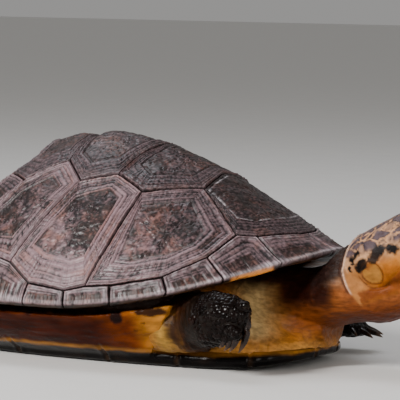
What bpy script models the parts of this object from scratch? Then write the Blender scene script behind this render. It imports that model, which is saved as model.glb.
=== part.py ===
"""A side-necked mud turtle at life size, lying on its belly shell with its head raised.

+X points to the head, +Y to the turtle's left and +Z up. The origin is on the plane the
turtle rests on, under the middle of the upper shell. All lengths are metres. Each object is
one closed solid, and neighbours keep a thin gap.
"""
import math

import bmesh
import bpy
from mathutils import Matrix, Vector

MM = 0.001
GAP = 0.3 * MM
UP = Vector((0, 0, 1))
SIDEWAYS = Vector((0, 1, 0))

# Upper shell
SHELL_LENGTH = 180 * MM
SHELL_WIDTH = 124 * MM
SHELL_TOP = 82.6 * MM
APEX_X = -4 * MM
OUTLINE_POWER = 2.3
REAR_SPREAD = 0.07
RIM_FRONT = 43.5 * MM
RIM_SIDE = 23.2 * MM
RIM_REAR = 24 * MM
RIM_CLIMB_POWER = 1.6
DOME_POWER = 1.82
FALL_FRONT = 1.22
FALL_SIDE = 0.80
FALL_REAR = 1.20
SHELL_THICKNESS = 3 * MM
RIM_EDGE = 1.2 * MM
LIP_DROP_FRONT = 4.2 * MM
LIP_DROP_SIDE = 2.6 * MM
SHELL_SIDES = 48
SHELL_REACHES = (0.13, 0.26, 0.38, 0.50, 0.61, 0.71, 0.80, 0.88, 0.95, 1.0)
LIP_EDGE_REACH = 0.995
LIP_PROFILE = ((0.95, 0.75), (0.90, 1.0), (0.87, 0.75))  # reach, share of the lip's drop
INNER_REACHES = (0.84, 0.74, 0.60, 0.45, 0.28, 0.13)
CROWN_EXTRA = 1 * MM
NORMAL_STEP = 0.02

# Keel: where each plate of the middle row starts, front to rear, and how far its knob stands up
PLATE_SEAMS = (80 * MM, 43.5 * MM, 17 * MM, -9 * MM, -31 * MM, -74 * MM)
KNOB_HEIGHTS = (0.6 * MM, 1.2 * MM, 1.5 * MM, 2.8 * MM, 0.8 * MM)
KEEL_SPREAD = 7 * MM
KNOB_PEAK = 0.82
KEEL_LOW_SHARE = 0.35

# Belly shell
BELLY_FRONT = 88.5 * MM
BELLY_REAR = -75 * MM
BELLY_THICKNESS = 6.2 * MM
BELLY_RISE_START = 60 * MM
BELLY_RISE = 4.5 * MM
BELLY_THINNING = 2.4 * MM
BELLY_OUTLINE = (  # distance along X, half width
    (88.5, 5), (87.5, 12.5), (84.5, 20.5), (78, 27.5), (69, 32.5), (57, 36), (42, 38.5), (30, 40),
    (8, 41), (-15, 40.5), (-32, 38.5), (-42, 33.5), (-54, 31.5), (-64, 27.5), (-71, 20), (-75, 11),
)
BELLY_EDGE = 3 * MM
BELLY_EDGE_PROFILE = ((1.0, 0.0), (0.3, 0.12), (0.0, 0.42), (0.25, 0.82), (1.1, 1.0))  # share in, share up
NOTCH_START = -60 * MM
NOTCH_RUN = 15 * MM
NOTCH_DEPTH = 7 * MM
BRIDGE_BOTTOM = (-33 * MM, 33 * MM)
BRIDGE_TOP = (-47 * MM, 48 * MM)
BRIDGE_WALL = 3.2 * MM
BRIDGE_REACH = 0.915
BRIDGE_CLEARANCE = 0.9 * MM
BRIDGE_FOOT_INSET = 1.2 * MM
BRIDGE_FOOT_HEIGHT = 1.8 * MM
BRIDGE_HOLLOW = 2.4 * MM
BRIDGE_LEAN = 0.8
BRIDGE_STEPS = (0.0, 0.36, 0.7, 1.0)
BRIDGE_RINGS = 11

# Trunk
TRUNK_CLEARANCE = 2 * GAP
TRUNK_INSET = 4 * MM
TRUNK_WALL_STEPS = (0.0, 0.16, 0.36, 0.62, 1.0)
TRUNK_DOME_STEPS = (1.0, 0.74, 0.48, 0.22)
TRUNK_TOP_GAP = 2 * MM
SHOULDER_REACH = 0.82
SHOULDER_SETBACK = 0.17
WALL_TOP = 21 * MM
WALL_TOP_FRONT_EXTRA = 15 * MM
WALL_TOP_REAR_DROP = 3 * MM
FRONT_OPENING = (38 * MM, 82 * MM)
REAR_OPENING = (-40 * MM, -85 * MM)

# Neck and head
NECK_PATH = (  # x, y, z, half width, half height
    (56, 0, 26, 12.5, 11.5), (68, 0, 25, 12.5, 11.5), (80, 0, 24.5, 13.5, 11.5), (90, 0, 27, 16.5, 12.6),
    (98, 0, 31.5, 18, 15), (105, 0, 31, 16.5, 13.3), (112, 0, 28.8, 14, 10.8), (120, 0, 30.5, 11.5, 9.3),
    (127, 0, 34.5, 8, 6.2), (132, 0, 38, 4, 3),
)
HEAD_ROOT = Vector((100, 0, 37.5)) * MM
HEAD_PITCH = math.radians(21)
HEAD_STATIONS = (  # along the head, half width, top, bottom
    (0, 12.5, 6.2, -7.6), (2, 14.6, 8.6, -9.0), (6, 16.6, 10.4, -10.2), (12, 17.8, 11.8, -11.6),
    (18, 17.6, 12.8, -12.3), (24, 16.2, 13.7, -11.9), (30, 13.8, 13.9, -11.0), (35, 11.6, 13.0, -10.1),
    (40, 9.2, 10.4, -9.2), (44, 7.0, 7.0, -8.2), (47, 4.6, 3.6, -6.9), (48.6, 2.2, 0.9, -5.4),
)
HEAD_LENGTH = HEAD_STATIONS[-1][0] * MM
HEAD_POWER = 2.35
HEAD_SIDES = 20
HEAD_MIDDLE = 0.35
SMALLEST_FLAT = 0.12
MOUTH_CORNER = 25 * MM
MOUTH_REAR = 10 * MM
MOUTH_MARGIN = 1 * MM
JAW_REAR = 14 * MM
JAW_TIP = 47.5 * MM
MOUTH_HEIGHT_CORNER = -5.2 * MM
MOUTH_HEIGHT_TIP = -3.4 * MM
JAW_OVERBITE = 1.0 * MM
EYE_PLACE = Vector((35.4, 8.1, 4.3)) * MM
EYE_RADIUS = 4.2 * MM

# Legs: path points are x, y, z, half width, half height
FORELEG_RIGHT = (
    (44, -31, 18.5, 7.5, 8), (54, -38.5, 18.5, 8.5, 9), (64, -45, 20, 8.5, 9.8),
    (72, -47.5, 21.4, 7.2, 8.2), (77.2, -48, 21.5, 4.8, 5.4), (79, -48, 21.2, 2.5, 2.8),
)
FORELEG_LEFT = (
    (44, 31, 18.5, 7.5, 8), (53, 38.5, 17.5, 8.5, 8.6), (63, 44, 14.5, 8.5, 7.6), (72, 46, 11, 8.2, 5.6),
    (77.5, 46, 9, 6.4, 3.8), (80, 46, 8.6, 3.6, 2.4),
)
HINDLEG = (
    (-44, 29, 15, 7.5, 7), (-54, 37, 11.5, 8.2, 6.6), (-62, 44.5, 8.5, 8.5, 6.2), (-69, 50, 6.2, 8, 5.4),
    (-75, 54.5, 4.4, 8.5, 4.2), (-81, 58.5, 3, 7.5, 3), (-84, 60, 2.6, 5, 2),
)
TAIL = (
    (-60, 0, 14, 7, 6.5), (-74, 0.5, 12.5, 5.6, 5.2), (-84, 3, 10, 4.2, 3.9), (-92, 7.5, 7, 2.8, 2.6),
    (-97, 12, 5, 1.1, 1.1),
)
LEG_SIDES = 12
NECK_SIDES = 18
TAIL_SIDES = 10
TOE_SIDES = 6
TOE_RADIUS = 2.1 * MM
CLAW_RADIUS = 1.35 * MM
CLAW_SIDES = 6
CLAW_STEPS = 3
TOE_FLOOR = 0.6 * MM
CLAW_FLOOR = 0.4 * MM
CLAW_TAPER = 0.7

COLOURS = {  # name: colour, roughness
    "shell_horn": ((0.075, 0.048, 0.042, 1), 0.42),
    "belly_horn": ((0.022, 0.017, 0.014, 1), 0.25),
    "skin": ((0.52, 0.30, 0.13, 1), 0.48),
    "leg_skin": ((0.035, 0.026, 0.022, 1), 0.4),
    "beak_horn": ((0.55, 0.40, 0.22, 1), 0.4),
    "eye": ((0.02, 0.015, 0.01, 1), 0.08),
    "claw_horn": ((0.02, 0.016, 0.014, 1), 0.25),
}


# ---------------------------------------------------------------- general tools

def clear_scene():
    for item in list(bpy.data.objects):
        bpy.data.objects.remove(item, do_unlink=True)


def make_material(name):
    colour, roughness = COLOURS[name]
    material = bpy.data.materials.get(name) or bpy.data.materials.new(name)
    material.use_nodes = True
    shader = material.node_tree.nodes["Principled BSDF"]
    shader.inputs["Base Color"].default_value = colour
    shader.inputs["Roughness"].default_value = roughness
    shader.inputs["Metallic"].default_value = 0.0
    material.diffuse_color = colour
    return material


def finish_object(mesh_builder, name, material):
    """Turn a bmesh into a named object with outward faces."""
    bmesh.ops.recalc_face_normals(mesh_builder, faces=mesh_builder.faces[:])
    if mesh_builder.calc_volume(signed=True) < 0:
        bmesh.ops.reverse_faces(mesh_builder, faces=mesh_builder.faces[:])
    mesh = bpy.data.meshes.new(name)
    mesh_builder.to_mesh(mesh)
    mesh_builder.free()
    mesh.materials.append(make_material(material))
    mesh.shade_smooth()
    mesh.set_sharp_from_angle(angle=math.radians(50))
    item = bpy.data.objects.new(name, mesh)
    bpy.context.scene.collection.objects.link(item)
    return item


def loft(name, rings, material, start_tip=None, end_tip=None):
    """Skin closed rings of points one after the other; each end is a tip or a flat cap."""
    builder = bmesh.new()
    loops = [[builder.verts.new(point) for point in ring] for ring in rings]
    count = len(loops[0])
    for near, far in zip(loops[:-1], loops[1:]):
        for k in range(count):
            following = (k + 1) % count
            builder.faces.new((near[k], near[following], far[following], far[k]))
    for loop, tip in ((loops[0], start_tip), (loops[-1], end_tip)):
        if tip is None:
            builder.faces.new(loop)
            continue
        point = builder.verts.new(tip)
        for k in range(count):
            builder.faces.new((loop[k], loop[(k + 1) % count], point))
    return finish_object(builder, name, material)


def apply_boolean(item, other, operation):
    """Cut or join another object into this one, then remove the other."""
    modifier = item.modifiers.new(operation.lower(), "BOOLEAN")
    modifier.operation = operation
    modifier.solver = "EXACT"
    modifier.object = other
    bpy.context.view_layer.update()
    evaluated = item.evaluated_get(bpy.context.evaluated_depsgraph_get())
    mesh = bpy.data.meshes.new_from_object(evaluated)
    item.modifiers.clear()
    mesh.name = item.name
    item.data = mesh
    bpy.data.objects.remove(other, do_unlink=True)


def smooth_curve(points, parameter):
    """Catmull-Rom value of a list of tuples; the parameter runs from 0 to the last index."""
    last = len(points) - 1
    start = min(int(parameter), last - 1)
    t = parameter - start
    before = points[max(start - 1, 0)]
    after = points[min(start + 2, last)]
    values = []
    for p0, p1, p2, p3 in zip(before, points[start], points[start + 1], after):
        pull = (2 * p0 - 5 * p1 + 4 * p2 - p3) * t * t + (3 * p1 - p0 - 3 * p2 + p3) * t ** 3
        values.append(0.5 * (2 * p1 + (p2 - p0) * t + pull))
    return values


def signed_power(value, power):
    return math.copysign(abs(value) ** power, value)


def oval(centre, side, rise, half_width, half_up, half_down, count, power=2.0):
    """Ring of points of a rounded section, whose upper and lower halves may differ."""
    ring = []
    for k in range(count):
        angle = 2 * math.pi * k / count
        across = half_width * signed_power(math.cos(angle), 2 / power)
        height = signed_power(math.sin(angle), 2 / power)
        height *= half_up if height > 0 else half_down
        ring.append(centre + side * across + rise * height)
    return ring


def tube_rings(path, sides, grow=0.0, steps=2, lengthen=0.0, upright=False):
    """Oval rings along a path of (x, y, z, half width, half height) in millimetres.

    The rings stand square to the path, or upright where the path is steep and its ends are near
    other parts.
    """
    count = (len(path) - 1) * steps + 1
    samples = [smooth_curve(path, k / steps) for k in range(count)]
    centres = [Vector(sample[:3]) * MM for sample in samples]
    rings = []
    for k, sample in enumerate(samples):
        ahead = centres[min(k + 1, count - 1)] - centres[max(k - 1, 0)]
        ahead.normalize()
        side = ahead.cross(UP).normalized()
        rise = UP if upright else side.cross(ahead).normalized()
        centre = centres[k].copy()
        if k == 0:
            centre -= ahead * lengthen
        if k == count - 1:
            centre += ahead * lengthen
        half_width = sample[3] * MM + grow
        half_height = sample[4] * MM + grow
        rings.append(oval(centre, side, rise, half_width, half_height, half_height, sides))
    return rings


# ---------------------------------------------------------------- upper shell

def rim_point(angle):
    """Point of the shell's rim; angle 0 is the front and a quarter turn is the left side."""
    ahead = math.cos(angle)
    x = 0.5 * SHELL_LENGTH * signed_power(ahead, 2 / OUTLINE_POWER)
    y = 0.5 * SHELL_WIDTH * signed_power(math.sin(angle), 2 / OUTLINE_POWER)
    y *= 1 - REAR_SPREAD * x / (0.5 * SHELL_LENGTH)
    z = RIM_SIDE + (RIM_FRONT - RIM_SIDE) * max(ahead, 0) ** RIM_CLIMB_POWER
    z += (RIM_REAR - RIM_SIDE) * max(-ahead, 0) ** 2
    return Vector((x, y, z))


def keel_height(x, y):
    """Low ridge along the middle that ends in a knob at the rear of each plate."""
    for front, rear, height in zip(PLATE_SEAMS[:-1], PLATE_SEAMS[1:], KNOB_HEIGHTS):
        if rear <= x <= front:
            t = (front - x) / (front - rear)
            rise = min(t / KNOB_PEAK, 1.0) if t < KNOB_PEAK else (1 - t) / (1 - KNOB_PEAK)
            height *= KEEL_LOW_SHARE + (1 - KEEL_LOW_SHARE) * rise
            return height * math.exp(-(y / KEEL_SPREAD) ** 2)
    return 0.0


def shell_point(angle, reach):
    """Outer face of the upper shell; reach runs from 0 at the top to 1 at the rim."""
    rim = rim_point(angle)
    ahead = math.cos(angle)
    fall = FALL_SIDE + (FALL_FRONT - FALL_SIDE) * max(ahead, 0) ** 2
    fall += (FALL_REAR - FALL_SIDE) * max(-ahead, 0) ** 2
    x = APEX_X + (rim.x - APEX_X) * reach
    y = rim.y * reach
    z = rim.z + (SHELL_TOP - rim.z) * (1 - reach ** DOME_POWER) ** fall
    return Vector((x, y, z + keel_height(x, y)))


def inner_shell_point(angle, reach, depth):
    """Point a given depth under the outer face, along the face's normal."""
    along = shell_point(angle + NORMAL_STEP, reach) - shell_point(angle - NORMAL_STEP, reach)
    outer, inner = min(reach + NORMAL_STEP, 1), max(reach - NORMAL_STEP, 0)
    outward = shell_point(angle, outer) - shell_point(angle, inner)
    normal = outward.cross(along).normalized()
    return shell_point(angle, reach) - normal * depth


def shell_angles():
    return [2 * math.pi * k / SHELL_SIDES for k in range(SHELL_SIDES)]


def lip_drop(angle):
    """How far the thick inner lip of the rim hangs under the rim's edge."""
    return LIP_DROP_SIDE + (LIP_DROP_FRONT - LIP_DROP_SIDE) * math.cos(angle) ** 2


def under_rim(angle, reach, drop):
    point = shell_point(angle, reach)
    point.z = rim_point(angle).z - drop
    return point


def make_carapace():
    angles = shell_angles()
    rings = [[shell_point(a, reach) for a in angles] for reach in SHELL_REACHES]
    rings.append([under_rim(a, LIP_EDGE_REACH, RIM_EDGE) for a in angles])
    for reach, share in LIP_PROFILE:
        rings.append([under_rim(a, reach, share * lip_drop(a)) for a in angles])
    for reach in INNER_REACHES:
        rings.append([inner_shell_point(a, reach, SHELL_THICKNESS) for a in angles])
    top = Vector((APEX_X, 0, SHELL_TOP + keel_height(APEX_X, 0)))
    inner_top = top - UP * (SHELL_THICKNESS + CROWN_EXTRA)
    return loft("carapace", rings, "shell_horn", start_tip=top, end_tip=inner_top)


# ---------------------------------------------------------------- belly shell

def belly_half_width(x):
    """Half width of the belly shell's outline at a distance along X."""
    points = BELLY_OUTLINE
    place = x / MM
    if place >= points[0][0]:
        return points[0][1] * MM
    for (x1, w1), (x2, w2) in zip(points[:-1], points[1:]):
        if x2 <= place <= x1:
            return (w1 + (w2 - w1) * (x1 - place) / (x1 - x2)) * MM
    return points[-1][1] * MM


def belly_rise(x):
    t = max(x - BELLY_RISE_START, 0) / (BELLY_FRONT - BELLY_RISE_START)
    return BELLY_RISE * t * t


def belly_top(x):
    """Height of the belly shell's upper face: the shell thins towards its raised front."""
    rise = belly_rise(x)
    return BELLY_THICKNESS + rise * (1 - BELLY_THINNING / BELLY_RISE)


def belly_section(x, half_width):
    """Section across the belly shell: flat under and over, with rounded edges."""
    base = belly_rise(x)
    thick = belly_top(x) - base
    edge = min(BELLY_EDGE, 0.4 * half_width)
    right = [(half_width - inwards * edge, height) for inwards, height in BELLY_EDGE_PROFILE]
    outline = right + [(0.0, 1.0)] + [(-y, h) for y, h in reversed(right)] + [(0.0, 0.0)]
    tail_end = max(0.0, min(1.0, (NOTCH_START - x) / NOTCH_RUN))
    ring = []
    for y, height in outline:
        notch = NOTCH_DEPTH * tail_end * (1 - abs(y) / half_width) ** 1.5
        ring.append(Vector((x + notch, y, base + thick * height)))
    return ring


def rim_at(x):
    """Rim point on the left side at a distance along X."""
    ratio = max(-1.0, min(1.0, x / (0.5 * SHELL_LENGTH)))
    return rim_point(math.acos(signed_power(ratio, OUTLINE_POWER / 2)))


def bridge_section(u, side):
    """Section of the bridge wall that climbs from the belly shell to under the rim."""
    ring = []
    for wall, order in ((0.0, BRIDGE_STEPS), (1.0, reversed(BRIDGE_STEPS))):
        for v in order:
            low_x = BRIDGE_BOTTOM[0] + (BRIDGE_BOTTOM[1] - BRIDGE_BOTTOM[0]) * u
            high_x = BRIDGE_TOP[0] + (BRIDGE_TOP[1] - BRIDGE_TOP[0]) * u
            x = low_x + (high_x - low_x) * v
            rim = rim_at(x)
            low = Vector((x, belly_half_width(low_x) - BRIDGE_FOOT_INSET, BRIDGE_FOOT_HEIGHT))
            high = Vector((x, rim.y * BRIDGE_REACH, rim.z - LIP_DROP_FRONT - BRIDGE_CLEARANCE))
            point = low.lerp(high, v)
            point.z -= BRIDGE_HOLLOW * math.sin(math.pi * v)
            point.y -= wall * BRIDGE_WALL
            point.z += wall * BRIDGE_WALL * BRIDGE_LEAN * (1 - v)
            point.y *= side
            ring.append(point)
    return ring


def make_plastron():
    stations = [Vector((x * MM, w * MM)) for x, w in BELLY_OUTLINE]
    rings = [belly_section(x, w) for x, w in stations]
    plate = loft("plastron", rings, "belly_horn")
    for side in (1, -1):
        rings = [bridge_section(k / (BRIDGE_RINGS - 1), side) for k in range(BRIDGE_RINGS)]
        wall = loft("bridge", rings, "belly_horn")
        apply_boolean(plate, wall, "UNION")
    return plate


# ---------------------------------------------------------------- trunk

def smooth_step(low, high, value):
    t = max(0.0, min(1.0, (value - low) / (high - low)))
    return t * t * (3 - 2 * t)


def trunk_floor_reach(angle):
    """Reach at which the trunk's floor meets the belly shell's outline, a little inside it."""
    rim = rim_point(angle)
    low, high = 0.05, 1.0
    for _ in range(30):
        middle = 0.5 * (low + high)
        x = APEX_X + (rim.x - APEX_X) * middle
        edge = belly_half_width(x) - TRUNK_INSET
        inside = BELLY_REAR + NOTCH_DEPTH + TRUNK_INSET < x < BELLY_FRONT - TRUNK_INSET
        if inside and abs(rim.y) * middle < edge:
            low = middle
        else:
            high = middle
    return low


def make_trunk():
    """Soft body between the shells: it fills the dome and sinks back at the front opening."""
    columns = []
    for angle in shell_angles():
        rim = rim_point(angle)
        opening = smooth_step(*FRONT_OPENING, rim.x)
        foot = trunk_floor_reach(angle)
        shoulder = SHOULDER_REACH - SHOULDER_SETBACK * opening
        wall_top = WALL_TOP + WALL_TOP_FRONT_EXTRA * opening
        wall_top -= WALL_TOP_REAR_DROP * smooth_step(*REAR_OPENING, rim.x)
        column = []
        for t in TRUNK_WALL_STEPS:
            reach = foot + (shoulder - foot) * t
            x = APEX_X + (rim.x - APEX_X) * reach
            floor = belly_top(x) + TRUNK_CLEARANCE
            column.append(Vector((x, rim.y * reach, floor + (wall_top - floor) * t)))
        for step in TRUNK_DOME_STEPS:
            column.append(inner_shell_point(angle, shoulder * step, SHELL_THICKNESS + 2 * GAP))
        columns.append(column)
    rings = [list(ring) for ring in zip(*columns)]
    under = Vector((APEX_X, 0, belly_top(APEX_X) + TRUNK_CLEARANCE))
    top = Vector((APEX_X, 0, SHELL_TOP - SHELL_THICKNESS - TRUNK_TOP_GAP))
    return loft("trunk", rings, "skin", start_tip=under, end_tip=top)


# ---------------------------------------------------------------- neck and head

def head_to_world(point):
    turn = Matrix.Rotation(-HEAD_PITCH, 3, "Y")
    return HEAD_ROOT + turn @ point


def head_size(x):
    """Half width, top and bottom of the head at a distance along it."""
    stations = HEAD_STATIONS
    place = x / MM
    for k in range(len(stations) - 1):
        if place <= stations[k + 1][0]:
            t = (place - stations[k][0]) / (stations[k + 1][0] - stations[k][0])
            values = smooth_curve(stations, k + max(t, 0))
            return [value * MM for value in values[1:]]
    return [value * MM for value in stations[-1][1:]]


def mouth_height(x):
    """Height of the cut between the head and the lower jaw; behind the jaw it leaves the head."""
    bottom = head_size(x)[2]
    if x <= MOUTH_REAR:
        return bottom - MOUTH_MARGIN
    if x <= MOUTH_CORNER:
        t = (x - MOUTH_REAR) / (MOUTH_CORNER - MOUTH_REAR)
        start = bottom - MOUTH_MARGIN
        return start + (MOUTH_HEIGHT_CORNER - start) * t
    t = (x - MOUTH_CORNER) / (HEAD_LENGTH - MOUTH_CORNER)
    return MOUTH_HEIGHT_CORNER + (MOUTH_HEIGHT_TIP - MOUTH_HEIGHT_CORNER) * t


def head_frame(x, grow=0.0, slim=0.0):
    """Centre height, half width, half height above and half height below of a head section."""
    half_width, top, bottom = head_size(x)
    middle = HEAD_MIDDLE * (top + bottom)
    return middle, half_width + grow - slim, top - middle + grow, middle - bottom + grow


def head_ring(x, grow):
    """Whole section of the head."""
    middle, half_width, up, down = head_frame(x, grow)
    ring = oval(Vector((x, 0, middle)), SIDEWAYS, UP, half_width, up, down, HEAD_SIDES, HEAD_POWER)
    return [head_to_world(point) for point in ring]


def head_arc(x, cut, above, slim=0.0):
    """The part of a head section that lies above or below a level cut."""
    middle, half_width, up, down = head_frame(x, slim=slim)
    height = (cut - middle) / (up if cut > middle else down)
    angle = math.asin(signed_power(max(-1.0, min(1.0, height)), HEAD_POWER / 2))
    angle = max(angle, SMALLEST_FLAT - 0.5 * math.pi)
    first, last = (angle, math.pi - angle) if above else (math.pi - angle, 2 * math.pi + angle)
    ring = []
    for k in range(HEAD_SIDES):
        turn = first + (last - first) * k / (HEAD_SIDES - 1)
        rise = signed_power(math.sin(turn), 2 / HEAD_POWER)
        rise *= up if rise > 0 else down
        across = half_width * signed_power(math.cos(turn), 2 / HEAD_POWER)
        ring.append(head_to_world(Vector((x, across, middle + rise))))
    return ring


def head_stations(first, last):
    marks = [station[0] * MM for station in HEAD_STATIONS]
    marks += [MOUTH_REAR, JAW_REAR, MOUTH_CORNER, JAW_TIP]
    return sorted(x for x in marks if first <= x <= last)


def make_head():
    places = head_stations(0, HEAD_LENGTH)
    rings = [head_arc(x, mouth_height(x) + 0.5 * GAP, above=True) for x in places]
    head = loft("head", rings, "skin")
    for side in (1, -1):
        apply_boolean(head, make_eye("socket", side, EYE_RADIUS + GAP), "DIFFERENCE")
    return head


def make_jaw():
    rings = []
    for x in head_stations(JAW_REAR, JAW_TIP):
        rings.append(head_arc(x, mouth_height(x) - 0.5 * GAP, above=False, slim=0.5 * JAW_OVERBITE))
    return loft("lower_jaw", rings, "beak_horn")


def make_head_cutter():
    """The whole head, a gap larger all round, which seats the head in the neck."""
    rings = [head_ring(x, grow=1.3 * GAP) for x in head_stations(0, HEAD_LENGTH)]
    for point in rings[0]:
        point.x -= GAP
    return loft("head_space", rings, "skin")


def make_eye(name, side, radius):
    builder = bmesh.new()
    bmesh.ops.create_uvsphere(builder, u_segments=12, v_segments=7, radius=radius)
    place = head_to_world(Vector((EYE_PLACE.x, EYE_PLACE.y * side, EYE_PLACE.z)))
    bmesh.ops.translate(builder, verts=builder.verts[:], vec=place)
    return finish_object(builder, name, "eye")


def make_neck():
    neck = loft("neck", tube_rings(NECK_PATH, NECK_SIDES, upright=True), "skin")
    apply_boolean(neck, make_head_cutter(), "DIFFERENCE")
    return neck


# ---------------------------------------------------------------- legs, claws and tail

def mirror_path(path):
    return tuple((x, -y, z, w, h) for x, y, z, w, h in path)


def toe_fans():
    """Leg name to its toes: centre, first spread axis, second spread axis, angles, reach, claw pull."""
    fans = {
        "foreleg_right": {
            "centre": (72.6, -48.4, 20.2), "u": (1, -0.15, 0), "v": (0, 0.45, 1),
            "angles": (26, -2, -38, -72, -102), "toe": (9.2, 7.8, 7.6, 7.6, 7.6), "start": 3,
            "pull": (-0.12, -0.05, -1), "bend": 1.9, "claws": (6.5, 10.5, 8.5, 6.5, 5.5),
        },
        "foreleg_left": {
            "centre": (74, 46, 9.4), "u": (1, 0.12, -0.12), "v": (-0.1, 1, 0),
            "angles": (-52, -26, 0, 26, 52), "toe": (8.2,) * 5, "start": 3,
            "pull": (0.25, 0, -0.75), "bend": 0.55, "claws": (6.5, 8.5, 9, 8.5, 7.5),
        },
    }
    for name, side in (("hindleg_left", 1), ("hindleg_right", -1)):
        fans[name] = {
            "centre": (-78, 57 * side, 3.4), "u": (-0.8, 0.6 * side, -0.06), "v": (0.6, 0.8 * side, 0),
            "angles": (-56, -28, 0, 28, 56), "toe": (9.2,) * 5, "start": 3,
            "pull": (-0.3, 0.3 * side, -0.22), "bend": 0.5, "claws": (6, 7, 7.5, 7, 6),
        }
    return fans


def toe_line(fan, number):
    """Start, end and outward direction of one toe."""
    angle = math.radians(fan["angles"][number])
    ray = (Vector(fan["u"]) * math.cos(angle) + Vector(fan["v"]) * math.sin(angle)).normalized()
    centre = Vector(fan["centre"]) * MM
    return centre + ray * fan["start"] * MM, centre + ray * fan["toe"][number] * MM, ray


def make_leg(name, path, material="leg_skin"):
    rings = tube_rings(path, LEG_SIDES)
    for ring in rings:
        for point in ring:
            point.z = max(point.z, 0.0)
    leg = loft(name, rings, material)
    fan = toe_fans()[name]
    for number in range(5):
        start, end, ray = toe_line(fan, number)
        side = ray.cross(UP).normalized()
        rise = side.cross(ray)
        rings = []
        for place, radius in ((start, TOE_RADIUS), (end, 0.8 * TOE_RADIUS)):
            ring = oval(place, side, rise, radius, radius, radius, TOE_SIDES)
            rings.append([Vector((p.x, p.y, max(p.z, TOE_FLOOR))) for p in ring])
        apply_boolean(leg, loft("toe", rings, material), "UNION")
    return leg


def make_claws(leg_name):
    """Curved claws that leave the toes' ends and bend towards the fan's pull."""
    fan = toe_fans()[leg_name]
    pull = Vector(fan["pull"])
    for number in range(5):
        end, ray = toe_line(fan, number)[1:]
        length = fan["claws"][number] * MM
        point = end + ray * GAP
        rings = []
        direction = ray.copy()
        for step in range(CLAW_STEPS):
            side = direction.cross(UP).normalized()
            rise = side.cross(direction)
            radius = CLAW_RADIUS * (1 - step / CLAW_STEPS) ** CLAW_TAPER
            rings.append(oval(point, side, rise, 0.8 * radius, radius, radius, CLAW_SIDES))
            direction = (direction + pull * (fan["bend"] / CLAW_STEPS)).normalized()
            point = point + direction * (length / CLAW_STEPS)
        point.z = max(point.z, CLAW_FLOOR)
        loft(f"claw_{leg_name}_{number + 1}", rings, "claw_horn", end_tip=point)


def seat_in_trunk(trunk, paths):
    for path in paths:
        rings = tube_rings(path, LEG_SIDES, grow=1.5 * GAP, lengthen=GAP)
        apply_boolean(trunk, loft("space", rings, "skin"), "DIFFERENCE")


def main():
    clear_scene()
    make_carapace()
    make_plastron()
    trunk = make_trunk()
    make_neck()
    make_head()
    make_jaw()
    for name, side in (("eye_left", 1), ("eye_right", -1)):
        make_eye(name, side, EYE_RADIUS)
    legs = {
        "foreleg_left": FORELEG_LEFT, "foreleg_right": FORELEG_RIGHT,
        "hindleg_left": HINDLEG, "hindleg_right": mirror_path(HINDLEG),
    }
    for name, path in legs.items():
        make_leg(name, path)
        make_claws(name)
    loft("tail", tube_rings(TAIL, TAIL_SIDES), "leg_skin")
    seat_in_trunk(trunk, list(legs.values()) + [TAIL])
    rings = tube_rings(NECK_PATH, NECK_SIDES, grow=1.5 * GAP, lengthen=GAP, upright=True)
    apply_boolean(trunk, loft("space", rings, "skin"), "DIFFERENCE")


main()
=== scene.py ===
"""Finish of a side-necked mud turtle at life size: horn plates, skin, scales, claws, eyes and beak.

+X points to the head, +Y to the turtle's left and +Z up, in metres. The shell's form is worked out
from the same few sizes as the solid shell, and every piece lies where its solid lies. Functions that
shape or colour a surface count in millimetres and get their points as mm.
"""
import math
from collections import namedtuple
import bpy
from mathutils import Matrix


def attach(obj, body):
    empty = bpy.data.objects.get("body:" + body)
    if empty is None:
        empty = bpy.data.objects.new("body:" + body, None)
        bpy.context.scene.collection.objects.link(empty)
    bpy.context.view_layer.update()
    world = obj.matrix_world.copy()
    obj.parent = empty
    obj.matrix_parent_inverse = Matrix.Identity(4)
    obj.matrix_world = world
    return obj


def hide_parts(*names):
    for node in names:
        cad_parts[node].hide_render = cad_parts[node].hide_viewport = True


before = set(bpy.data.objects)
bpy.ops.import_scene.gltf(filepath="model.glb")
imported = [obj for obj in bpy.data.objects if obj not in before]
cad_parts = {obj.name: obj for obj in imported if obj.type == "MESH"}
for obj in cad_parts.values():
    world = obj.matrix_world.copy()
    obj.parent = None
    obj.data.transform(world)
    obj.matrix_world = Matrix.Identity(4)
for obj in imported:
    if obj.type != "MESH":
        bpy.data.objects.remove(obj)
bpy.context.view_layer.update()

from types import SimpleNamespace

import bpy
import numpy as np
from mathutils import Matrix, Vector

MM = 0.001

# Upper shell, the same sizes as the solid one
SHELL_LENGTH = 180 * MM
SHELL_WIDTH = 124 * MM
SHELL_TOP = 82.6 * MM
APEX_X = -4 * MM
OUTLINE_POWER = 2.3
REAR_SPREAD = 0.07
RIM_FRONT = 43.5 * MM
RIM_SIDE = 23.2 * MM
RIM_REAR = 24 * MM
RIM_CLIMB_POWER = 1.6
DOME_POWER = 1.82
FALL_FRONT = 1.22
FALL_SIDE = 0.80
FALL_REAR = 1.20
LIP_DROP_FRONT = 4.2 * MM
LIP_DROP_SIDE = 2.6 * MM
SHELL_HEART = np.array((APEX_X, 0.0, 12 * MM))

# Middle row of plates: seams on the midline from front to rear, and how far each knob stands up
KEEL_SEAMS = (79 * MM, 43.5 * MM, 18.5 * MM, -11 * MM, -30 * MM, -73 * MM)
KNOB_HEIGHTS = (0.6 * MM, 1.2 * MM, 1.5 * MM, 2.8 * MM, 0.8 * MM)
KEEL_SPREAD = 7 * MM
KNOB_PEAK = 0.86

# Plates
PLATE_GRAIN = 0.45 * MM
SEAM_GAP = 0.08 * MM
SEAM_DEPTH = 0.55 * MM
SEAM_WIDTH = 0.22
PLATE_THICKNESS = 1.3 * MM
TONE_MIDDLE = 0.47  # tone that stays as it is when a plate's contrast is raised


# ---------------------------------------------------------------- numbers, noise and colour

def signed_power(value, power):
    return np.sign(value) * np.abs(value) ** power


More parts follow.
